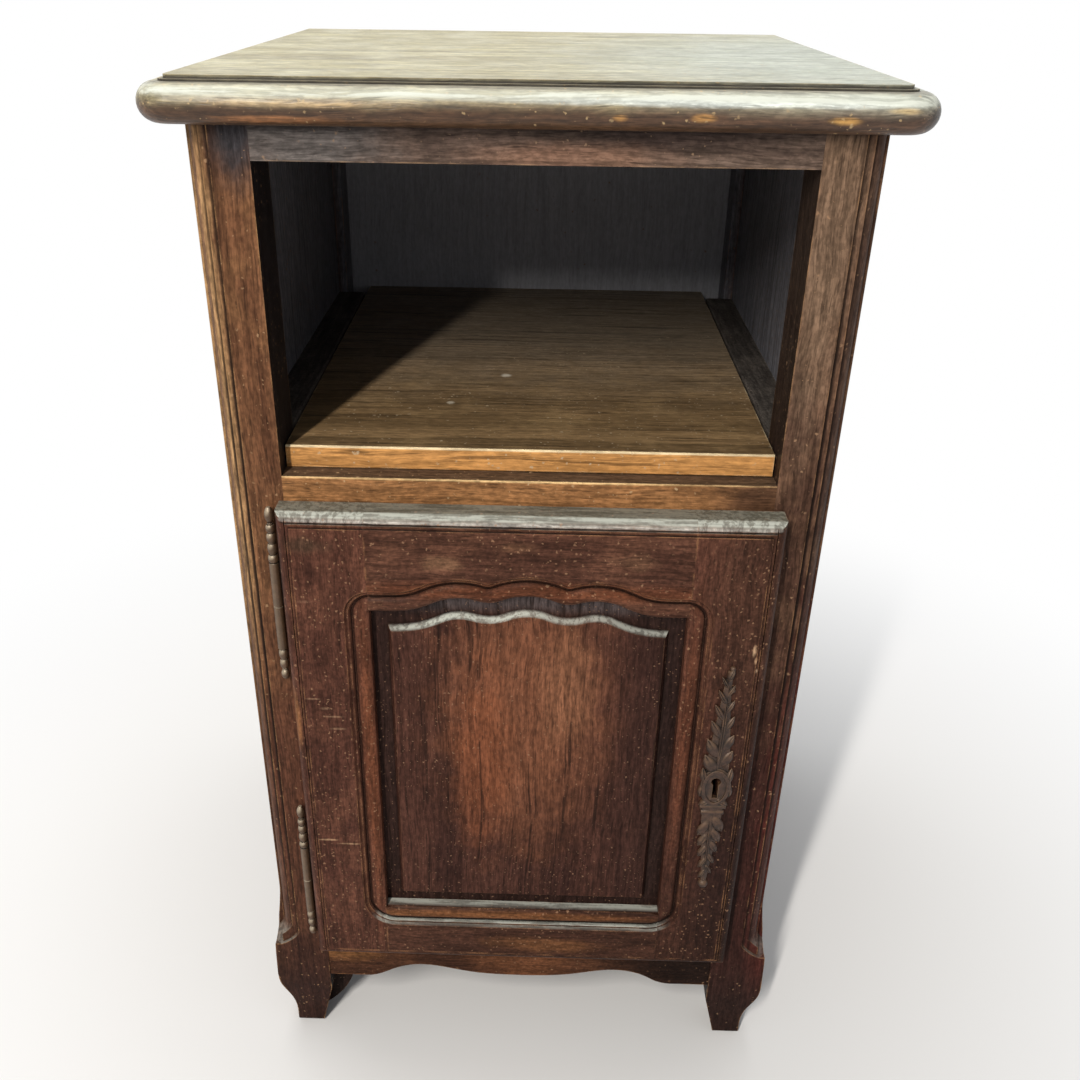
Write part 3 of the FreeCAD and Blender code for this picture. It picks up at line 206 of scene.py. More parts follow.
def spot_group():
    """A soft, ragged patch round a centre, with its reach along x, y and z."""
    inputs = [
        ("Vector", "Vector", None), ("Centre", "Vector", None), ("Reach", "Vector", None),
        ("Ragged", "Float", 0.5)]
    group, given, result = new_group("soft_spot", inputs, ["Spot"])
    away = vectors(group, "SUBTRACT", given["Vector"], given["Centre"])
    share = vectors(group, "DIVIDE", away, given["Reach"])
    distance = add(group, "VectorMath", {0: share}, operation="LENGTH").outputs["Value"]
    rough = noise(group, given["Vector"], 42.0, 5.0, 0.65)["Fac"]
    centred = sums(group, "SUBTRACT", rough, 0.5)
    torn = sums(group, "MULTIPLY_ADD", centred, given["Ragged"], distance)
    group.links.new(ranged(group, torn, 0.25, 1.0, 1.0, 0.0), result["Spot"])
    return group


def dust_and_sheen_group():
    """Where dust settles and painted sheen lies: upward slopes, and level faces more thinly."""
    group, _, result = new_group("settled_dust_and_sheen", [], ["Dust"])
    normal = add(group, "TexCoord").outputs["Normal"]
    upward = add(group, "SeparateXYZ", {"Vector": normal}).outputs["Z"]
    slope = ranged(group, upward, 0.3, 0.66)
    level = ranged(group, upward, 0.94, 0.995, 1.0, 0.28)
    group.links.new(times(group, slope, level), result["Dust"])
    return group


def facing_group():
    """How far a face turns towards a way in the piece's own frame."""
    group, given, result = new_group("facing", [("Way", "Vector", None)], ["Facing"])
    normal = add(group, "TexCoord").outputs["Normal"]
    turned = add(group, "VectorMath", {0: normal, 1: given["Way"]}, operation="DOT_PRODUCT").outputs["Value"]
    group.links.new(ranged(group, turned, 0.45, 0.85), result["Facing"])
    return group


grain_group = wood_grain_group()
fleck_group = flecks_group()
edge_group = edges_group()
patch_group = spot_group()
dust_and_sheen_node_group = dust_and_sheen_group()
way_group = facing_group()
GRAIN_TURN = {"x": (0.0, math.pi / 2, 0.0), "y": (math.pi / 2, 0.0, 0.0), "z": (0.0, 0.0, 0.0)}
LINE_COLOUR = srgb(30, 19, 15)
PORE_COLOUR = srgb(24, 15, 12)
FLECK_COLOUR = srgb(140, 116, 98)
# Dust with painted sheen; dirt with painted shade in lines; grime with painted shade in hollows
DUST_AND_SHEEN_COLOUR = srgb(200, 204, 194)
DIRT_AND_SHADE_COLOUR = srgb(28, 19, 16)
GRIME_AND_SHADE_COLOUR = srgb(20, 14, 12)


def stained_wood(
        name, along, deep, body, light, worn, rough=0.44, shine=0.06, coat=0.0, flecks=0.4, rub=0.8,
        dust_and_sheen=(), lines=0.25, spots=(), seams=(), facing_tint_and_shade=(), length=1.0, grained=1.0, dirt_and_shade=()):
    """Old stained and varnished wood, its grain along x, y or z.

    Spots are patches of another colour, some painted shade, shadow or highlight: centre, reach, colour,
    strength and raggedness.
    Seams are places where a flush joint isn't rubbed: centre and reach. All lengths are in metres.
    Facing tints and painted shade colour the faces that turn one way: way, colour and strength.
    Dust and painted sheen lie on the upward slopes within soft boxes: centre, reach and strength.
    Dirt and painted shade lie in lines and corners, over the rubbed edges: centre, reach and strength.
    """
    material = bpy.data.materials.new(name)
    material.use_nodes = True
    tree = material.node_tree
    shader = tree.nodes["Principled BSDF"]
    place = add(tree, "TexCoord").outputs["Object"]
    turned = add(tree, "Mapping", {"Vector": place, "Rotation": GRAIN_TURN[along]}).outputs[0]
    grain = use_group(tree, grain_group, {"Vector": turned, "Length": length})
    edges = use_group(tree, edge_group, {"Vector": place})

    def patch(centre, reach, ragged):
        """A soft mask round a place on the piece."""
        inputs = {"Vector": place, "Centre": centre, "Reach": reach, "Ragged": ragged}
        return use_group(tree, patch_group, inputs)["Spot"]

    def specked(scale, size, share):
        """A mask of flecks."""
        inputs = {"Vector": place, "Scale": scale, "Size": size, "Share": share}
        return use_group(tree, fleck_group, inputs)["Flecks"]

    # The stain: figure, clouds, patches, and faces tinted by the way they turn, among them painted shade,
    # shadow and highlight
    cloud = noise(tree, place, 26.0, 5.0, 0.6)["Fac"]
    colour = mixed(tree, ranged(tree, grain["Figure"], 0.0, 1.0, 0.25, 1.0), deep, body)
    colour = mixed(tree, ranged(tree, cloud, 0.45, 0.7, 0.0, 0.5), colour, light)
    for centre, reach, shade, strength, ragged in spots:
        colour = mixed(tree, times(tree, patch(centre, reach, ragged), strength), colour, shade)
    # Faces turned one way are tinted, most of them with painted shade
    for way, shade, strength in facing_tint_and_shade:
        facing = use_group(tree, way_group, {"Way": way})["Facing"]
        colour = mixed(tree, times(tree, facing, strength), colour, shade)

    # The grain over it, and pale flecks
    for output, least, most in (("Streak", 0.74, 1.2), ("Fibre", 0.84, 1.16), ("Mottle", 0.76, 1.2)):
        tone = ranged(tree, grain[output], 0.0, 1.0, least, most)
        colour = mixed(tree, grained, colour, tone, "MULTIPLY")
    colour = mixed(tree, times(tree, grain["Lines"], lines), colour, LINE_COLOUR)
    colour = mixed(tree, times(tree, grain["Pores"], 0.45 * grained), colour, PORE_COLOUR)
    fine = times(tree, specked(330.0, 0.25, flecks * 0.8), 0.6)
    large = times(tree, specked(150.0, 0.15, flecks * 0.9), 0.75)
    specks = sums(tree, "MAXIMUM", fine, large)
    colour = mixed(tree, specks, colour, mixed(tree, 0.5, worn, FLECK_COLOUR))

    # Rubbed edges, then dust and painted sheen, dirt and painted shade in lines, and grime and painted shade
    # in the hollows
    wear = times(tree, edges["Wear"], rub)
    for centre, reach in seams:
        wear = times(tree, wear, ranged(tree, patch(centre, reach, 0.0), 0.0, 0.5, 1.0, 0.0))
    colour = mixed(tree, wear, colour, worn)
    layer = use_group(tree, dust_and_sheen_node_group, {})["Dust"]
    dust_and_sheen_share = 0.0
    for centre, reach, strength in dust_and_sheen:
        thick = times(tree, times(tree, layer, patch(centre, reach, 0.1)), strength)
        dust_and_sheen_share = sums(tree, "MAXIMUM", dust_and_sheen_share, thick)
    broken = times(tree, grain["Streak"], ranged(tree, grain["Mottle"], 0.0, 1.0, 0.6, 1.0))
    dust_and_sheen_share = times(tree, dust_and_sheen_share, ranged(tree, broken, 0.1, 0.6, 0.45, 1.0))
    # Dust and painted sheen on the upward slopes
    colour = mixed(tree, dust_and_sheen_share, colour, DUST_AND_SHEEN_COLOUR)
    # Dirt and painted shade in lines and corners
    for centre, reach, strength in dirt_and_shade:
        colour = mixed(tree, times(tree, patch(centre, reach, 0.3), strength), colour, DIRT_AND_SHADE_COLOUR)
    # Grime and painted shade darken the quirks and hollows
    colour = mixed(tree, times(tree, edges["Grime_and_shade"], 0.88), colour, GRIME_AND_SHADE_COLOUR)
    tree.links.new(colour, shader.inputs["Base Color"])

    # The varnish's gloss, and its pores and dents
    gloss = ranged(tree, cloud, 0.3, 0.7, rough + 0.08, rough - 0.06)
    gloss = sums(tree, "MULTIPLY_ADD", sums(tree, "MAXIMUM", specks, dust_and_sheen_share), 0.2, gloss)
    gloss = sums(tree, "MULTIPLY_ADD", edges["Grime_and_shade"], 0.25, gloss)
    tree.links.new(gloss, shader.inputs["Roughness"])
    shader.inputs["Specular IOR Level"].default_value = shine
    shader.inputs["Coat Weight"].default_value = coat
    shader.inputs["Coat Roughness"].default_value = rough - 0.1
    ridge = sums(tree, "MULTIPLY_ADD", grain["Pores"], -0.8, times(tree, grain["Fibre"], 0.35))
    ridge = sums(tree, "MULTIPLY_ADD", grain["Mottle"], 0.4, ridge)
    height = sums(tree, "ADD", cloud, ridge)
    relief = {"Height": height, "Strength": 0.3, "Distance": 0.0005, "Normal": edges["Normal"]}
    tree.links.new(add(tree, "Bump", relief).outputs[0], shader.inputs["Normal"])
    return material


def finish_nodes(names, material):
    """Gives CAD pieces their material."""
    for name in names:
        nodes[name].data.materials.clear()
        nodes[name].data.materials.append(material)


LEFT = -1
RIGHT = 1
front_y = -0.2
joint_x = 0.1607
rail_ends = [0.728, 0.5095, 0.091]
underside = 0.739
# Painted shadow under the top board's overhang
under_top_shadow = srgb(44, 38, 38)


def post_joints(side):
    """Where the rails meet a post."""
    return [((side * joint_x, front_y, height), (0.006, 0.02, 0.022)) for height in rail_ends]


def quirk_shade_lines(side):
    """Dark lines of dirt and painted shade in the two quirks of a post's moulded corner."""
    return [
        ((side * 0.1853, front_y, 0.43), (0.0018, 0.1, 0.5), 0.9),
        ((side * 0.1903, front_y, 0.43), (0.0017, 0.1, 0.5), 0.85)]


post_left_wood = stained_wood(
    "post_left_wood", "z", srgb(70, 43, 30), srgb(110, 75, 52), srgb(136, 98, 66), srgb(182, 140, 96),
    dust_and_sheen=[((-0.2, front_y, 0.11), (0.03, 0.04, 0.03), 0.25)], lines=0.4, flecks=0.35, length=1.6,
    spots=[
        # Rubbed golden wood on the moulded corner, brightened further as painted light where it faces the
        # light
        ((-0.197, front_y, 0.58), (0.015, 0.1, 0.40), srgb(182, 144, 102), 0.88, 0.9),
        ((-0.170, front_y, 0.735), (0.022, 0.1, 0.045), srgb(54, 54, 58), 0.95, 0.8),
        ((-0.18, front_y, 0.24), (0.1, 0.2, 0.24), srgb(80, 49, 37), 0.85, 0.5),
        # Painted shadow under the top board
        ((-0.18, front_y, underside), (0.1, 0.1, 0.005), under_top_shadow, 0.8, 0.3),
        ((-0.18, front_y, 0.0), (0.1, 0.2, 0.17), srgb(48, 29, 24), 0.97, 0.4),
    ],
    # Painted shade on the face towards the niche; the outer side face tinted like the side rails
    facing_tint_and_shade=[((1.0, 0.0, 0.0), srgb(32, 28, 28), 0.97), ((-1.0, 0.0, 0.0), srgb(92, 62, 46), 0.85)],
    seams=post_joints(LEFT), dirt_and_shade=quirk_shade_lines(LEFT))
post_right_wood = stained_wood(
    "post_right_wood", "z", srgb(62, 42, 34), srgb(96, 68, 53), srgb(124, 94, 72), srgb(164, 124, 88),
    dust_and_sheen=[((0.2, front_y, 0.11), (0.03, 0.04, 0.03), 0.15)], lines=0.4, flecks=0.35, shine=0.04, length=1.6,
    spots=[
        ((0.172, front_y, 0.70), (0.026, 0.2, 0.20), srgb(128, 104, 84), 0.8, 0.7),
        ((0.18, front_y, 0.12), (0.1, 0.2, 0.40), srgb(56, 28, 24), 0.96, 0.4),
        ((0.204, front_y, 0.25), (0.026, 0.2, 0.30), srgb(88, 34, 29), 0.8, 0.7),
        # Painted shadow under the top board
        ((0.18, front_y, underside), (0.1, 0.1, 0.005), under_top_shadow, 0.8, 0.3),
        ((0.18, front_y, 0.0), (0.1, 0.2, 0.13), srgb(36, 22, 19), 0.9, 0.5),
    ],
    # Painted shade on the moulded corner turned from the light, and on the face towards the niche
    facing_tint_and_shade=[((0.8, -0.6, 0.0), srgb(62, 48, 42), 0.55), ((-1.0, 0.0, 0.0), srgb(30, 26, 26), 0.8)],
    seams=post_joints(RIGHT), dirt_and_shade=quirk_shade_lines(RIGHT))
finish_nodes(["front_post_left"], post_left_wood)
finish_nodes(["front_post_right"], post_right_wood)


# Rear posts, side rails and side panels: the frame of each side with a flat board in its grooves,
# the same stained wood as the front, duller, with painted shade on the inner faces: a cool grey for the
# light inside the niche.
endless = 4.0
inner_shade_grey = srgb(118, 119, 126)
rear_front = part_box("rear_post_left")[0].y
foot_dirt = ((0.0, 0.2, 0.0), (endless, endless, 0.15), 0.75)
for side, inward in (("left", 1.0), ("right", -1.0)):
    # Painted shade on the faces inside the niche and on the rear posts' fronts there: a cool grey
    inner_shade = [((inward, 0.0, 0.0), inner_shade_grey, 0.92)]
    corner = ((-inward * 0.1705, rear_front, 0.42), (0.02, 0.006, endless), inner_shade_grey, 0.95, 0.0)
    upright_wood = stained_wood(
        "side_upright_wood_" + side, "z",
        srgb(58, 37, 29), srgb(90, 61, 46), srgb(98, 67, 50), srgb(154, 114, 78),
        rough=0.5, lines=0.45, length=1.8, grained=0.8, spots=[corner], facing_tint_and_shade=inner_shade, dirt_and_shade=[foot_dirt])
    rail_wood = stained_wood(
        "side_rail_wood_" + side, "y",
        srgb(58, 38, 30), srgb(90, 62, 48), srgb(98, 68, 51), srgb(154, 114, 78),
        rough=0.5, lines=0.35, length=1.8, facing_tint_and_shade=inner_shade)
    finish_nodes(["rear_post_" + side, "side_panel_" + side], upright_wood)
    finish_nodes(["side_top_rail_" + side, "side_bottom_rail_" + side], rail_wood)


# Front rails: the top rail over the niche is greyed and dull, with a painted shadow under the top
# board, and the middle rail under the shelf is rubbed to orange wood by the shelf's use, with painted
# shade on its top face under the shelf. Both are tenoned into the posts.
rail_seams = [((side * joint_x, front_y, 0.6), (0.006, 0.02, 0.4)) for side in (LEFT, RIGHT)]
top_rail_wood = stained_wood(
    "top_rail_wood", "x", srgb(72, 58, 52), srgb(100, 84, 74), srgb(116, 96, 84), srgb(160, 130, 100),
    spots=[
        # Painted shadow of the top board along the rail's upper edge
        ((0.075, front_y, 0.735), (0.07, 0.1, 0.012), srgb(62, 50, 46), 0.8, 0.8),
        ((-0.13, front_y, 0.73), (0.07, 0.1, 0.04), srgb(98, 94, 92), 0.75, 0.8),
        ((0.02, front_y, 0.722), (0.08, 0.1, 0.012), srgb(122, 90, 72), 0.6, 0.8),
        # Painted shadow under the top board
        ((0.0, front_y, underside), (endless, 0.1, 0.005), under_top_shadow, 0.85, 0.3),
    ],
    seams=rail_seams, length=1.6)
mid_rail_wood = stained_wood(
    "mid_rail_wood", "x", srgb(92, 60, 40), srgb(146, 103, 66), srgb(166, 121, 79), srgb(222, 188, 138),
    # Painted shade on the rail's top face under the shelf
    length=1.6, facing_tint_and_shade=[((0.0, 0.0, 1.0), srgb(88, 72, 58), 0.9)],
    spots=[
        ((0.165, front_y, 0.51), (0.075, 0.1, 0.05), srgb(80, 56, 42), 0.9, 0.7),
        ((0.0, front_y, 0.498), (0.2, 0.1, 0.009), srgb(86, 56, 40), 0.5, 0.9),
        # A pale line along the top arris: wear and painted highlight
        ((-0.03, -0.2017, 0.5242), (0.25, 0.0016, 0.0016), srgb(220, 186, 134), 0.9, 0.5),
    ],
    seams=rail_seams)
finish_nodes(["front_top_rail"], top_rail_wood)
finish_nodes(["front_mid_rail"], mid_rail_wood)


# Apron: a board of the same stained wood with a scalloped lower edge, tenoned between the feet. It is
# worn gold at its left end and nearly black at its right end.
apron_seams = [((side * joint_x, front_y, 0.091), (0.006, 0.02, 0.05)) for side in (LEFT, RIGHT)]
apron_wood = stained_wood(
    "apron_wood", "x", srgb(50, 31, 23), srgb(80, 51, 36), srgb(96, 62, 42), srgb(150, 106, 68),
    shine=0.04, flecks=0.6,
    spots=[
        ((-0.142, front_y, 0.09), (0.04, 0.1, 0.016), srgb(124, 84, 50), 0.75, 0.9),
        ((0.0, front_y, 0.09), (0.06, 0.1, 0.04), srgb(108, 69, 46), 0.8, 0.9),
        ((0.15, front_y, 0.09), (0.11, 0.1, 0.08), srgb(28, 18, 14), 0.95, 0.5),
    ],
    seams=apron_seams)
finish_nodes(["front_apron"], apron_wood)


# Back: thin board nailed to three plain rails, left without varnish and darkened with age, its face
# towards the niche a cool grey, as painted shade for the light inside the niche.
back_rail_wood = stained_wood(
    "back_rail_wood", "x", srgb(64, 48, 38), srgb(96, 76, 58), srgb(122, 98, 74), srgb(150, 122, 90),
    rough=0.7)
back_board_wood = stained_wood(
    "back_board_wood", "z", srgb(84, 66, 50), srgb(104, 83, 63), srgb(110, 89, 67), srgb(150, 126, 98),
    rough=0.7, flecks=0.1, lines=0.08, grained=0.3, length=1.8,
    spots=[((-0.035, 0.2, 0.64), (0.012, 0.1, 0.09), srgb(60, 54, 54), 0.5, 0.6)],
    # Painted shade on the face towards the niche: a cool grey
    facing_tint_and_shade=[((0.0, -1.0, 0.0), srgb(174, 175, 182), 0.92)])
finish_nodes(["back_top_rail", "back_mid_rail", "back_bottom_rail"], back_rail_wood)
finish_nodes(["back_panel"], back_board_wood)


# Inside: the cupboard's floor on its cleats, glue blocks, and the runners and guides of the shelf, of
# plain unvarnished wood. The curved block behind the left foot is coloured nearly black as painted shade.
inner_deep_wood = stained_wood(
    "inner_deep_wood", "y", srgb(60, 56, 53), srgb(88, 82, 77), srgb(106, 99, 92), srgb(146, 136, 122),
    rough=0.5, flecks=0.1)
finish_nodes(
    ["cupboard_floor", "floor_cleat_left", "floor_cleat_right", "top_glue_blocks", "shelf_runner_left",
     "shelf_runner_right", "shelf_guide_left", "shelf_guide_right"], inner_deep_wood)
# Coloured nearly black as painted shade
shaded_block_wood = stained_wood(
    "shaded_block_wood", "z", srgb(26, 18, 16), srgb(40, 27, 23), srgb(48, 33, 28), srgb(90, 66, 50), shine=0.04)
finish_nodes(["foot_block_left"], shaded_block_wood)


# Pull-out shelf: one loose board that slides on the runners, thinly varnished on top, its front edge
# bare and ochre.
shelf_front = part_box("pull_out_shelf")[0].y
shelf_top = 0.540
shelf_wood = stained_wood(
    "shelf_wood", "x", srgb(96, 77, 53), srgb(140, 114, 81), srgb(158, 131, 93), srgb(232, 214, 178),
    rough=0.4, lines=0.55, length=2.4, grained=0.7,
    spots=[
        ((0.0, 0.2, 0.532), (endless, 0.34, endless), srgb(140, 127, 110), 0.85, 0.3),
        ((-0.0195, -0.040, shelf_top), (0.006, 0.005, 0.004), srgb(214, 206, 190), 0.8, 1.6),
        ((-0.0580, -0.102, shelf_top), (0.004, 0.004, 0.004), srgb(206, 196, 176), 0.8, 1.6),
        ((0.0, shelf_front - 0.001, 0.532), (endless, 0.0035, endless), srgb(196, 142, 84), 1.0, 0.1),
        ((0.0, shelf_front + 0.0004, shelf_top), (endless, 0.0018, 0.0014), srgb(232, 212, 172), 0.9, 0.4),
    ])
finish_nodes(["pull_out_shelf"], shelf_wood)


# Top board: one wide moulded board on the case, its stain thinned and greyed by use and light, its
# pale colour partly painted sheen. Its rounded edge carries a painted highlight along its upper part and
# its ends, while the underside keeps the dark stain, with golden spots where it is knocked.
top_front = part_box("top_board")[0].y
# Painted highlight on the ends and upper part of the rounded edge, laid as dust and sheen
edge_dust_and_highlight = [((side * 0.213, 0.0, 0.7560), (0.016, endless, 0.006), 0.6) for side in (LEFT, RIGHT)]
edge_dust_and_highlight.append(((0.0, top_front + 0.003, 0.7547), (endless, 0.010, 0.0050), 1.0))
knocked = srgb(176, 130, 74)
top_wood = stained_wood(
    # Pale colours: greyed wood and painted sheen
    "top_wood", "x", srgb(130, 121, 90), srgb(168, 161, 126), srgb(186, 181, 147), srgb(216, 186, 128),
    rough=0.4, shine=0.3, coat=0.12, lines=0.3, length=2.4, dust_and_sheen=edge_dust_and_highlight,
    spots=[
        ((0.22, -0.05, 0.762), (0.26, 0.4, 0.1), srgb(168, 176, 166), 0.8, 0.4),
        ((0.0, 0.0, 0.7405), (endless, endless, 0.0185), srgb(76, 51, 35), 0.97, 0.35),
        # A painted highlight along the rounded edge
        ((0.10, top_front, 0.7540), (0.16, 0.010, 0.0035), srgb(222, 230, 226), 0.8, 0.5),
        ((0.0, top_front + 0.013, 0.7596), (endless, 0.012, 0.0045), srgb(116, 111, 96), 0.9, 0.3),
        ((0.165, top_front, 0.7455), (0.012, 0.03, 0.003), srgb(196, 150, 84), 0.9, 0.9),
        ((0.09, top_front, 0.746), (0.008, 0.03, 0.003), knocked, 0.8, 0.9),
        ((0.045, top_front, 0.7455), (0.006, 0.03, 0.003), knocked, 0.8, 0.9),
        ((-0.12, top_front, 0.7505), (0.07, 0.03, 0.003), srgb(186, 158, 118), 0.5, 0.9),
        ((-0.14, top_front, 0.742), (0.05, 0.03, 0.003), srgb(150, 100, 60), 0.7, 0.9),
        ((0.196, top_front + 0.004, 0.7510), (0.012, 0.03, 0.0025), srgb(190, 164, 116), 0.6, 0.9),
        ((0.220, top_front + 0.01, 0.7460), (0.014, 0.03, 0.009), srgb(50, 38, 28), 0.9, 0.4),
    ])
finish_nodes(["top_board"], top_wood)


# Door frame: two stiles and two rails, mortised together, with a moulded edge all round and a moulded
# line round the panel. Its red-brown stain is thick, full of pale flecks and scratches. Its right side
# carries painted shade and it is darker towards the bottom; its top moulding carries a painted highlight
# strip and a painted shade line, and the upward slopes of its mouldings dust and painted sheen.
door_y = -0.22
door_face = -0.2243
moulding_y = -0.2215


def face_mark(across, height, wide, tall, colour, strength, ragged):
    """One of the spots: a smudge, chip or scratch on the door's face."""
    return ((across, door_face, height), (wide, 0.02, tall), colour, strength, ragged)


door_seams = [((edge, -0.21, 0.3), (0.006, 0.02, 0.4)) for edge in (-0.1055, 0.1095)]
door_marks_and_painted_light = [
    # Painted shade on the right side of the door
    ((0.17, door_y, 0.14), (0.085, 0.2, 0.46), srgb(42, 26, 22), 0.97, 0.3),
    ((0.16, door_y, 0.45), (0.06, 0.2, 0.16), srgb(66, 44, 34), 0.7, 0.5),
    ((0.03, door_y, 0.10), (0.25, 0.2, 0.12), srgb(52, 32, 24), 0.85, 0.4),
    ((0.02, door_y, 0.128), (0.06, 0.2, 0.012), srgb(112, 74, 46), 0.6, 0.9),
    # A painted highlight strip on the top moulding's slope
    ((-0.02, -0.2235, 0.5022), (0.5, 0.004, 0.0024), srgb(196, 194, 186), 0.85, 0.6),
    face_mark(-0.1450, 0.4860, 0.020, 0.010, srgb(62, 50, 38), 0.6, 1.4),
    face_mark(-0.0550, 0.4750, 0.016, 0.008, srgb(124, 94, 70), 0.45, 1.8),
    face_mark(-0.0100, 0.4870, 0.020, 0.006, srgb(116, 84, 62), 0.4, 1.8),
    face_mark(0.0700, 0.4780, 0.018, 0.008, srgb(112, 82, 62), 0.4, 1.8),
    ((0.0, -0.21, 0.5095), (endless, endless, 0.0075), srgb(98, 92, 74), 0.9, 0.2),
]
# Dust and painted sheen on the top moulding, and a painted shade line along it
top_dust_and_sheen = ((0.0, -0.21, 0.507), (endless, endless, 0.013), 0.85)
top_shade_line = [((0.0, -0.2230, 0.5053), (endless, 0.0045, 0.0010), 0.75)]
bead_orange = srgb(105, 61, 40)
pale_scratch = srgb(142, 112, 88)
dull_scratch = srgb(136, 106, 84)
long_scratch = srgb(160, 128, 100)
stile_marks = [
    ((-0.1105, door_y, 0.3), (0.0075, 0.2, 0.19), bead_orange, 0.7, 0.5),
    ((0.1150, door_y, 0.34), (0.0075, 0.2, 0.16), srgb(92, 54, 38), 0.7, 0.5),
    face_mark(0.1556, 0.4125, 0.0018, 0.006, srgb(178, 146, 116), 0.85, 1.6),
    face_mark(0.1575, 0.4045, 0.0015, 0.004, srgb(170, 136, 106), 0.8, 1.6),
    face_mark(0.1588, 0.3960, 0.0016, 0.003, srgb(180, 150, 124), 0.8, 1.6),
    ((-0.1622, -0.2235, 0.345), (0.0045, 0.02, 0.036), srgb(150, 102, 64), 0.6, 1.0),
    face_mark(-0.1475, 0.3640, 0.008, 0.0013, pale_scratch, 0.65, 1.8),
    face_mark(-0.1400, 0.3560, 0.006, 0.0015, dull_scratch, 0.65, 1.8),
    face_mark(-0.1345, 0.3490, 0.009, 0.0012, pale_scratch, 0.65, 1.8),
    face_mark(-0.1325, 0.3385, 0.008, 0.0013, dull_scratch, 0.6, 1.8),
    face_mark(-0.1480, 0.4430, 0.009, 0.0022, srgb(128, 94, 76), 0.5, 1.8),
    face_mark(-0.1470, 0.2335, 0.010, 0.0011, long_scratch, 0.7, 1.4),
    face_mark(-0.1300, 0.2300, 0.011, 0.0011, long_scratch, 0.7, 1.4),
]
rail_marks = [
    ((0.0018, door_y, 0.4535), (0.2, 0.2, 0.011), bead_orange, 0.6, 0.5),
    ((-0.03, door_y, 0.1565), (0.2, 0.2, 0.006), srgb(120, 78, 48), 0.7, 0.5),
]
door_upright_wood = stained_wood(
    "door_upright_wood", "z", srgb(60, 36, 29), srgb(90, 57, 45), srgb(104, 67, 52), srgb(166, 120, 84),
    flecks=0.8, shine=0.05, spots=door_marks_and_painted_light + stile_marks, seams=door_seams, dirt_and_shade=top_shade_line,
    # Dust and painted sheen on the top moulding and on the lower moulding's ledges
    dust_and_sheen=[
        top_dust_and_sheen,
        ((-0.1, moulding_y, 0.152), (0.022, 0.01, 0.018), 0.6),
        ((0.1, moulding_y, 0.152), (0.022, 0.01, 0.018), 0.4),
    ])
door_across_wood = stained_wood(
    "door_across_wood", "x", srgb(61, 38, 30), srgb(91, 60, 47), srgb(104, 70, 54), srgb(166, 120, 84),
    flecks=0.8, shine=0.05, spots=door_marks_and_painted_light + rail_marks, seams=door_seams, dirt_and_shade=top_shade_line,
    # Dust and painted sheen on the top moulding and on the ledges under the panel
    dust_and_sheen=[
        top_dust_and_sheen,
        ((0.0, -0.2120, 0.162), (endless, 0.0080, 0.004), 2.6),
        ((0.0, moulding_y, 0.151), (endless, 0.01, 0.007), 0.7),
    ])
finish_nodes(["door_hinge_stile", "door_lock_stile"], door_upright_wood)
finish_nodes(["door_top_rail", "door_bottom_rail"], door_across_wood)


# Door panel: a raised board held loose in the frame's groove, its middle rubbed to orange wood, its
# right side darkened as painted shade and its sunk margin darkened as painted shade. The upper slopes of
# the raised field carry dust and painted sheen.
panel_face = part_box("door_panel")[0].y
panel_wood = stained_wood(
    "panel_wood", "z", srgb(46, 28, 24), srgb(70, 44, 36), srgb(80, 51, 41), srgb(150, 108, 78),
    flecks=1.0, shine=0.05, lines=0.7, length=1.8, rub=0.3,
    dust_and_sheen=[
        # Dust and painted sheen on the upper slopes of the raised field
        ((-0.04, panel_face + 0.0030, 0.43), (0.13, 0.0040, 0.04), 1.0),
        ((0.0, panel_face + 0.0030, 0.43), (endless, 0.0036, 0.04), 0.65),
    ],
    spots=[
        ((0.000, door_y, 0.35), (0.085, 0.1, 0.17), srgb(112, 71, 51), 0.9, 0.8),
        # Painted shade on the right side of the panel
        ((0.10, door_y, 0.30), (0.05, 0.1, 0.3), srgb(52, 33, 28), 0.75, 0.5),
        ((-0.03, door_y, 0.31), (0.03, 0.1, 0.11), srgb(122, 68, 42), 0.4, 0.9),
        ((0.03, door_y, 0.37), (0.03, 0.1, 0.07), srgb(132, 90, 66), 0.5, 0.9),
        # Painted shade in the sunk margin
        ((0.0, panel_face + 0.0095, 0.3), (endless, 0.007, endless), srgb(40, 28, 25), 0.92, 0.05),
        ((0.0, panel_face + 0.0085, 0.442), (endless, 0.0065, 0.016), srgb(84, 76, 76), 0.8, 0.3),
    ])
finish_nodes(["door_panel"], panel_wood)


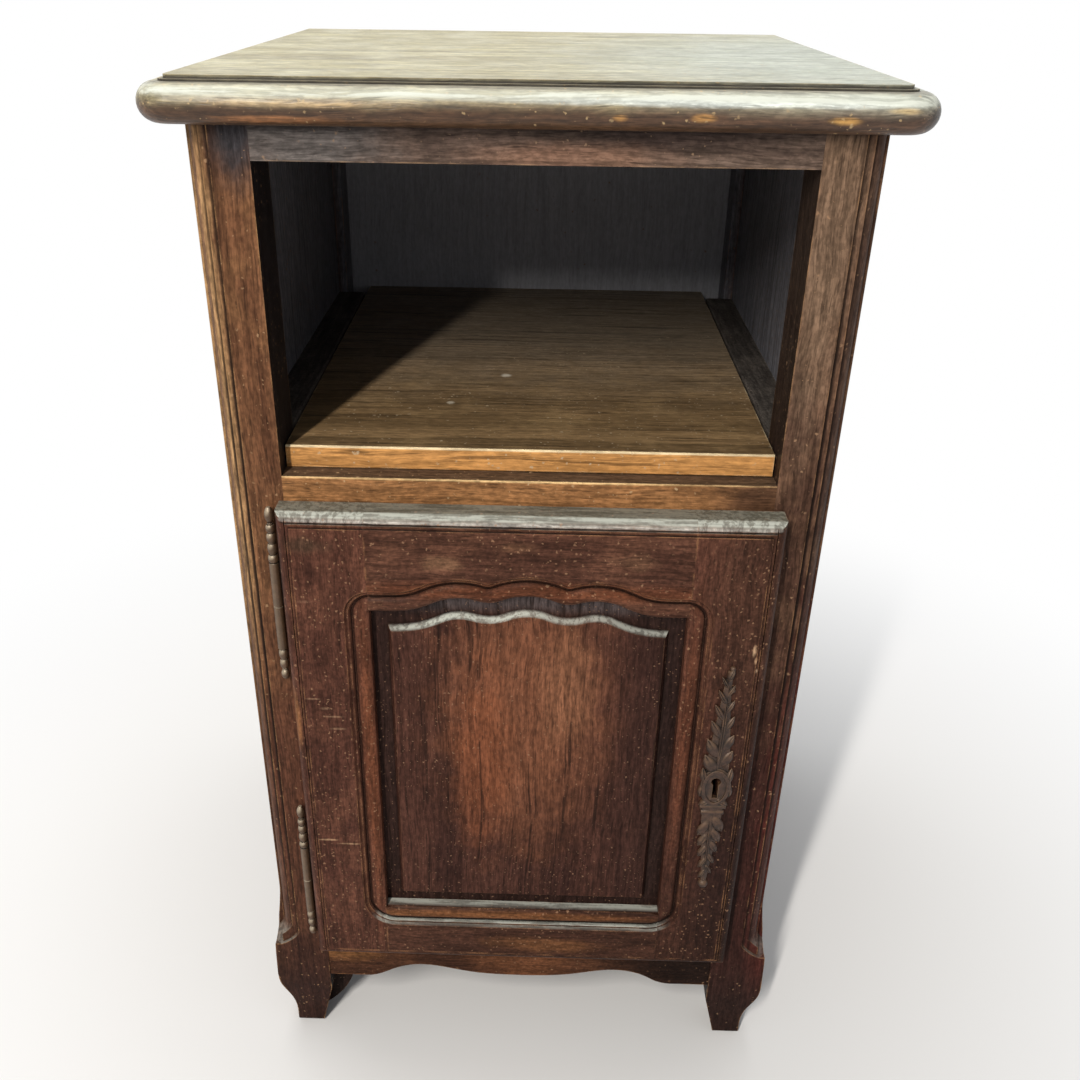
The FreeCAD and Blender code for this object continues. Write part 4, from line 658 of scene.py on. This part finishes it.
# Hinges: two barrel hinges with turned finials, in brass that has gone dull and brown. Each has one half
# nailed to the post and one nailed to the door, on a pin, with the leaves let into the wood.
def aged_metal(name, dark, body, bright, rough, metal, grime=0.85, painted_sheen=0.0):
    """Metal under a patina, rubbed bright on its edges, with a painted highlight, as strong as painted_sheen,
    on the slopes that face up towards the front left.
    """
    material = bpy.data.materials.new(name)
    material.use_nodes = True
    tree = material.node_tree
    shader = tree.nodes["Principled BSDF"]
    place = add(tree, "TexCoord").outputs["Object"]
    edges = use_group(tree, edge_group, {"Vector": place, "Rub": 0.0012})
    cloud = noise(tree, place, 240.0, 5.0, 0.65)["Fac"]
    colour = mixed(tree, ranged(tree, cloud, 0.35, 0.65), dark, body)
    colour = mixed(tree, times(tree, edges["Wear"], 0.8), colour, bright)
    # Painted highlight on the slopes that face up towards the front left
    upper = use_group(tree, way_group, {"Way": (-0.25, -0.5, 0.83)})["Facing"]
    colour = mixed(tree, times(tree, upper, painted_sheen), colour, bright)
    colour = mixed(tree, times(tree, edges["Grime_and_shade"], grime), colour, srgb(22, 17, 14))
    tree.links.new(colour, shader.inputs["Base Color"])
    shader.inputs["Metallic"].default_value = metal
    gloss = ranged(tree, cloud, 0.3, 0.7, rough + 0.1, rough - 0.08)
    tree.links.new(gloss, shader.inputs["Roughness"])
    relief = {"Height": cloud, "Strength": 0.2, "Distance": 0.0004, "Normal": edges["Normal"]}
    tree.links.new(add(tree, "Bump", relief).outputs[0], shader.inputs["Normal"])
    return material


# Brass with a painted highlight on its upper slopes
hinge_brass = aged_metal(
    "hinge_brass", srgb(78, 60, 44), srgb(92, 69, 50), srgb(186, 172, 148), 0.42, 0.3, grime=0.95, painted_sheen=0.55)
finish_nodes(
    ["hinge_post_half_upper", "hinge_post_half_lower", "hinge_door_half_upper", "hinge_door_half_lower"],
    hinge_brass)


# Iron fittings: pins, nails, screws, the lock in its case and the strike plate, in dull grey iron. The
# lock is screwed to the back of the door, and the strike plate is let into the post and screwed.
dull_iron = aged_metal("dull_iron", srgb(80, 77, 74), srgb(98, 95, 92), srgb(150, 148, 146), 0.5, 0.85)
finish_nodes(
    ["hinge_pins", "hinge_post_nails", "hinge_door_nails", "back_panel_nails", "strike_plate",
     "strike_screws", "escutcheon_pins", "lock_case", "lock_cover", "lock_screws", "bolt_spring",
     "lock_bolt"], dull_iron)


# Escutcheon: one cast bronze plate over the keyhole, a long leaf above and below an oval boss, held by
# pins. Every lobe of the leaves is a copy of one half drop, joined to the plate under it.
plate_middle = 0.1405
plate_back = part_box("door_lock_stile")[0].y
plate_thickness = 0.0014


def as_selected(piece, test):
    """Selects the vertices of the piece in edit mode that pass a test on their place."""
    bpy.ops.mesh.select_all(action="DESELECT")
    bpy.ops.object.mode_set(mode="OBJECT")
    for vertex in piece.data.vertices:
        vertex.select = test(vertex.co)
    bpy.ops.object.mode_set(mode="EDIT")


def settled_piece(piece):
    """The piece's place, turn and size put into its mesh."""
    bpy.ops.object.mode_set(mode="OBJECT")
    bpy.ops.object.select_all(action="DESELECT")
    piece.select_set(True)
    bpy.context.view_layer.objects.active = piece
    bpy.ops.object.transform_apply(location=True, rotation=True, scale=True)
    return piece


def leaf_plate(rows):
    """A flat leaf under the lobes; each row has a height and its reach to the left and to the right."""
    bpy.ops.object.select_all(action="DESELECT")
    steps = len(rows) - 1
    bpy.ops.mesh.primitive_grid_add(
        x_subdivisions=2, y_subdivisions=steps, size=2.0, location=(0, 0, 0), rotation=(math.pi / 2, 0, 0))
    plate = settled_piece(bpy.context.object)
    bpy.ops.object.mode_set(mode="EDIT")
    bpy.ops.mesh.select_mode(type="VERT")
    for side in (LEFT, 0, RIGHT):
        for step, (height, left, right) in enumerate(rows):
            level = -1.0 + 2.0 * step / steps
            as_selected(plate, lambda place: (
                abs(place.x - side) < 0.1 and abs(place.z - level) < 0.01 and place.y > -0.1))
            reach = {LEFT: -left, 0: (right - left) / 2, RIGHT: right}[side]
            raised = plate_thickness * (1.8 if side == 0 else 1.0)
            shift = (plate_middle + reach - side, plate_back - raised, height - level)
            bpy.ops.transform.translate(value=shift)
    bpy.ops.mesh.select_all(action="SELECT")
    bpy.ops.mesh.normals_make_consistent(inside=False)
    bpy.ops.mesh.extrude_region_move(TRANSFORM_OT_translate={"value": (0, plate_thickness * 0.9, 0)})
    bpy.ops.mesh.select_all(action="SELECT")
    bpy.ops.mesh.normals_make_consistent(inside=False)
    return settled_piece(plate)


def cut_behind(point):
    """Cuts the active piece flat behind a point, closes the cut and stays in edit mode."""
    bpy.ops.object.mode_set(mode="EDIT")
    bpy.ops.mesh.select_mode(type="VERT")
    bpy.ops.mesh.select_all(action="SELECT")
    bpy.ops.mesh.bisect(plane_co=point, plane_no=(0, 1, 0), clear_outer=True, use_fill=True)


def half_drop():
    """One lobe: a drop of unit half length and half width, cut flat behind, with a vein sunk in front."""
    bpy.ops.object.select_all(action="DESELECT")
    bpy.ops.mesh.primitive_uv_sphere_add(segments=20, ring_count=14, radius=1.0, location=(0, 0, 0))
    drop = bpy.context.object
    cut_behind((0, 0, 0))
    for level, narrowed in ((0.3, 0.92), (0.5, 0.86), (0.7, 0.8), (0.85, 0.7)):
        as_selected(drop, lambda place: place.z > level)
        bpy.ops.transform.resize(value=(narrowed, narrowed, 1.0), center_override=(0, 0, 0))
    as_selected(drop, lambda place: abs(place.x) < 0.1 and place.y < -0.3 and -0.5 < place.z < 0.8)
    bpy.ops.transform.translate(value=(0, 0.22, 0))
    bpy.ops.object.mode_set(mode="OBJECT")
    bpy.ops.object.shade_smooth()
    return drop


first_lobe = half_drop()
cast_parts = []


def set_lobe(across, height, length, width, relief, lean):
    """A copy of the lobe on the plate, its tip leaning to the right by some degrees from upright."""
    bpy.ops.object.select_all(action="DESELECT")
    first_lobe.select_set(True)
    bpy.context.view_layer.objects.active = first_lobe
    bpy.ops.object.duplicate(linked=False)
    lobe = bpy.context.object
    lobe.scale = (width / 2, relief, length / 2)
    lobe.rotation_euler = (0, math.radians(lean), 0)
    lobe.location = (plate_middle + across, plate_back - plate_thickness * 0.6, height)
    cast_parts.append(settled_piece(lobe))


upper_rows = [
    (0.308, 0.0080, 0.0080), (0.318, 0.0080, 0.0080), (0.331, 0.0070, 0.0072), (0.349, 0.0054, 0.0054),
    (0.3635, 0.0040, 0.0040), (0.377, 0.0030, 0.0030), (0.389, 0.0020, 0.0026), (0.397, 0.0008, 0.0024)]
lower_rows = [
    (0.203, 0.0018, 0.0018), (0.213, 0.0026, 0.0026), (0.226, 0.0036, 0.0036), (0.240, 0.0050, 0.0050),
    (0.252, 0.0060, 0.0064), (0.262, 0.0070, 0.0072), (0.284, 0.0076, 0.0076)]
cast_parts.append(leaf_plate(upper_rows))
cast_parts.append(leaf_plate(lower_rows))

# The lobes of the upper and lower leaf, each row a height, a reach and a length
upper_lobes = [
    (0.3165, 0.0100, 0.0170), (0.3305, 0.0092, 0.0165), (0.3470, 0.0072, 0.0160), (0.3615, 0.0056, 0.0140),
    (0.3750, 0.0044, 0.0120), (0.3870, 0.0033, 0.0100)]
lower_lobes = [
    (0.2610, 0.0090, 0.0160), (0.2500, 0.0078, 0.0145), (0.2390, 0.0066, 0.0135), (0.2275, 0.0051, 0.0125),
    (0.2165, 0.0040, 0.0110)]
for height, reach, length in upper_lobes:
    set_lobe(-reach * 0.54, height, length * 1.1, reach * 1.0, 0.0034, -30)
    set_lobe(reach * 0.56, height + 0.005, length * 0.95, reach * 0.8, 0.0025, 28)
for height, reach, length in lower_lobes:
    set_lobe(reach * 0.56, height, length * 1.1, reach * 0.95, 0.0032, 152)
    set_lobe(-reach * 0.56, height - 0.005, length, reach * 0.85, 0.0026, 206)

# The midrib of each leaf, the tip, and three lobes on each side of the boss
set_lobe(0.0002, 0.345, 0.086, 0.0042, 0.0034, 1)
set_lobe(0.0, 0.240, 0.072, 0.0036, 0.0030, 180)
set_lobe(0.0014, 0.3945, 0.0095, 0.0050, 0.0032, 24)
for side in (LEFT, RIGHT):
    set_lobe(side * 0.0088, 0.3055, 0.0150, 0.0066, 0.0036, side * 12)
    set_lobe(side * 0.0098, 0.2925, 0.0130, 0.0058, 0.0034, side * 172)
    set_lobe(side * 0.0062, 0.2820, 0.0120, 0.0056, 0.0034, side * 128)


def round_bead(across, height, radius):
    """A small half ball on the plate."""
    bpy.ops.object.select_all(action="DESELECT")
    centre = (plate_middle + across, plate_back, height)
    bpy.ops.mesh.primitive_uv_sphere_add(segments=20, ring_count=12, radius=radius, location=centre)
    bead = settled_piece(bpy.context.object)
    cut_behind(centre)
    bpy.ops.object.mode_set(mode="OBJECT")
    bpy.ops.object.shade_smooth()
    cast_parts.append(bead)


round_bead(0.0, 0.2008, 0.0040)
round_bead(0.0022, 0.3980, 0.0021)
round_bead(0.0040, 0.3800, 0.0020)


def soften(piece, width, segments):
    """Rounds the sharp edges of the active piece."""
    bevel = piece.modifiers.new("soft_edges", "BEVEL")
    bevel.width = width
    bevel.segments = segments
    bpy.ops.object.modifier_apply(modifier=bevel.name)


def collar_band(height, width):
    """A half-round band across the plate, with rounded ends."""
    bpy.ops.object.select_all(action="DESELECT")
    bpy.ops.mesh.primitive_cylinder_add(
        vertices=20, radius=0.0023, depth=width, location=(plate_middle, plate_back - 0.0006, height),
        rotation=(0, math.pi / 2, 0))
    band = settled_piece(bpy.context.object)
    cut_behind((0, plate_back, 0))
    bpy.ops.object.mode_set(mode="OBJECT")
    soften(band, 0.0012, 3)
    cast_parts.append(band)


collar_band(0.2775, 0.0195)
collar_band(0.2722, 0.0170)

# The boss round the keyhole: a raised oval with a rolled rim and a sunk middle
boss_height = 0.2965
boss_across = 0.0112
boss_up = 0.0170
boss_deep = 0.0030
rim_inset = 0.0010
rim_rise = 0.0014
middle_inset = 0.0026
middle_drop = 0.0016
boss_place = (plate_middle, plate_back - boss_deep / 2, boss_height)
bpy.ops.object.select_all(action="DESELECT")
bpy.ops.mesh.primitive_cylinder_add(
    vertices=48, radius=1.0, depth=boss_deep, location=boss_place, rotation=(math.pi / 2, 0, 0))
boss = bpy.context.object
boss.scale = (boss_across, boss_up, 1.0)
settled_piece(boss)
bpy.ops.object.mode_set(mode="EDIT")
bpy.ops.mesh.select_mode(type="VERT")
as_selected(boss, lambda place: place.y < plate_back - boss_deep * 0.9)
bpy.ops.mesh.select_mode(type="FACE")
bpy.ops.mesh.inset(thickness=rim_inset, depth=0.0)
bpy.ops.mesh.extrude_region_move(TRANSFORM_OT_translate={"value": (0, -rim_rise, 0)})
bpy.ops.mesh.inset(thickness=middle_inset, depth=0.0)
bpy.ops.mesh.extrude_region_move(TRANSFORM_OT_translate={"value": (0, middle_drop, 0)})
bpy.ops.mesh.select_all(action="SELECT")
bpy.ops.mesh.normals_make_consistent(inside=False)
bpy.ops.object.mode_set(mode="OBJECT")
soften(boss, 0.0009, 4)
bpy.ops.object.shade_smooth_by_angle(angle=math.radians(40))
cast_parts.append(boss)

# One casting, with the keyhole cut through it
key_height = 0.3013
key_radius = 0.0035
key_slot = 0.0040
key_drop = 0.0147
key_deep = 0.04
bpy.ops.object.select_all(action="DESELECT")
for part in cast_parts:
    part.select_set(True)
bpy.context.view_layer.objects.active = boss
bpy.ops.object.join()
casting = bpy.context.object
casting.name = "escutcheon_casting"
bpy.ops.object.select_all(action="DESELECT")
bpy.ops.mesh.primitive_cylinder_add(
    vertices=32, radius=key_radius, depth=key_deep, location=(plate_middle, plate_back, key_height),
    rotation=(math.pi / 2, 0, 0))
hole = settled_piece(bpy.context.object)
bpy.ops.object.select_all(action="DESELECT")
bpy.ops.mesh.primitive_cube_add(size=1.0, location=(plate_middle, plate_back, key_height - key_drop / 2))
slot = bpy.context.object
slot.scale = (key_slot, key_deep, key_drop)
settled_piece(slot)
for cutter in (hole, slot):
    cut = casting.modifiers.new("keyhole", "BOOLEAN")
    cut.operation = "DIFFERENCE"
    cut.solver = "EXACT"
    cut.use_self = True
    cut.object = cutter
    bpy.ops.object.select_all(action="DESELECT")
    casting.select_set(True)
    bpy.context.view_layer.objects.active = casting
    bpy.ops.object.modifier_apply(modifier=cut.name)
for spare in (hole, slot, first_lobe):
    bpy.data.objects.remove(spare, do_unlink=True)
bpy.ops.object.shade_smooth_by_angle(angle=math.radians(45))
# Bronze with a painted highlight on its upper slopes
bronze = aged_metal(
    "aged_bronze", srgb(42, 28, 20), srgb(69, 46, 33), srgb(130, 100, 70), 0.5, 0.2, grime=0.92, painted_sheen=0.25)
casting.data.materials.clear()
casting.data.materials.append(bronze)
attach(casting, "door")
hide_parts("escutcheon")


# Studio: a pale floor that fades to white, a narrow tall light from the front left, a wide soft light
# overhead, and a white surround.
def seen_directly(tree):
    """One for rays from the camera and for mirrored and refracted ones, zero for scattered light."""
    path = add(tree, "LightPath").outputs
    bent = sums(tree, "MAXIMUM", path["Is Glossy Ray"], path["Is Transmission Ray"])
    return sums(tree, "MAXIMUM", path["Is Camera Ray"], bent)


floor_reach = 6.0
bpy.ops.object.select_all(action="DESELECT")
bpy.ops.mesh.primitive_plane_add(size=floor_reach * 2, location=(0, 0, 0))
floor = bpy.context.object
floor.name = "floor"
pale_floor = bpy.data.materials.new("pale_floor")
pale_floor.use_nodes = True
tree = pale_floor.node_tree
shader = tree.nodes["Principled BSDF"]
shader.inputs["Base Color"].default_value = (0.86, 0.86, 0.86, 1.0)
shader.inputs["Roughness"].default_value = 0.9
shader.inputs["Specular IOR Level"].default_value = 0.1
place = add(tree, "TexCoord").outputs["Object"]
distance = add(tree, "VectorMath", {0: place}, operation="LENGTH").outputs["Value"]
far = ranged(tree, distance, 0.3, 1.0)
white = add(tree, "Emission", {"Color": (1, 1, 1, 1), "Strength": 1.0})
share = times(tree, far, seen_directly(tree))
fade = add(tree, "MixShader", {0: share, 1: shader.outputs[0], 2: white.outputs[0]})
tree.links.new(fade.outputs[0], tree.nodes["Material Output"].inputs["Surface"])
floor.data.materials.append(pale_floor)


def area_light(name, place, target, width, height, power, colour):
    """A rectangular soft light that faces a target."""
    data = bpy.data.lights.new(name, "AREA")
    data.shape = "RECTANGLE"
    data.size = width
    data.size_y = height
    data.energy = power
    data.color = colour
    light = bpy.data.objects.new(name, data)
    bpy.context.scene.collection.objects.link(light)
    light.location = place
    light.rotation_euler = (Vector(target) - Vector(place)).to_track_quat("-Z", "Y").to_euler()


area_light("tall_light", (-0.8, -2.35, 2.2), (0.0, 0.0, 0.5), 0.1, 1.35, 77.0, (1.0, 0.95, 0.88))
area_light("overhead_light", (-0.2, 0.4, 2.2), (-0.2, 0.4, 0.0), 1.6, 1.2, 24.0, (1.0, 0.99, 0.96))

world = bpy.data.worlds.new("white_surround")
bpy.context.scene.world = world
world.use_nodes = True
tree = world.node_tree
ambient = tree.nodes["Background"]
ambient.inputs["Color"].default_value = (0.95, 0.97, 1.0, 1.0)
ambient.inputs["Strength"].default_value = 0.32
shown = add(tree, "Background", {"Color": (1, 1, 1, 1), "Strength": 1.0})
both = add(tree, "MixShader", {0: seen_directly(tree), 1: ambient.outputs[0], 2: shown.outputs[0]})
tree.links.new(both.outputs[0], tree.nodes["World Output"].inputs["Surface"])


# Camera: where the photograph was taken from, in front and above, looking down. Its place, turn and
# lens were fitted to the straight edges of the cabinet; angles are in radians.
camera_yaw = -0.0217
camera_pitch = 0.5168
camera_roll = -0.0125
flat = math.cos(camera_pitch)
forward = Vector((math.sin(camera_yaw) * flat, math.cos(camera_yaw) * flat, -math.sin(camera_pitch)))
level = Vector((math.cos(camera_yaw), -math.sin(camera_yaw), 0.0))
down = forward.cross(level)
right = level * math.cos(camera_roll) + down * math.sin(camera_roll)
up = level * math.sin(camera_roll) - down * math.cos(camera_roll)
camera_data = bpy.data.cameras.new("camera")
camera_data.sensor_width = 36.0
camera_data.lens = 37.236
camera_data.shift_x = 0.0259
camera_data.shift_y = 0.0464
camera = bpy.data.objects.new("camera", camera_data)
bpy.context.scene.collection.objects.link(camera)
camera.location = (0.0047, -0.86599, 0.82062)
camera.rotation_euler = Matrix((right, up, -forward)).transposed().to_euler()
bpy.context.scene.camera = camera
bpy.context.scene.view_settings.view_transform = "Standard"

bpy.context.view_layer.update()
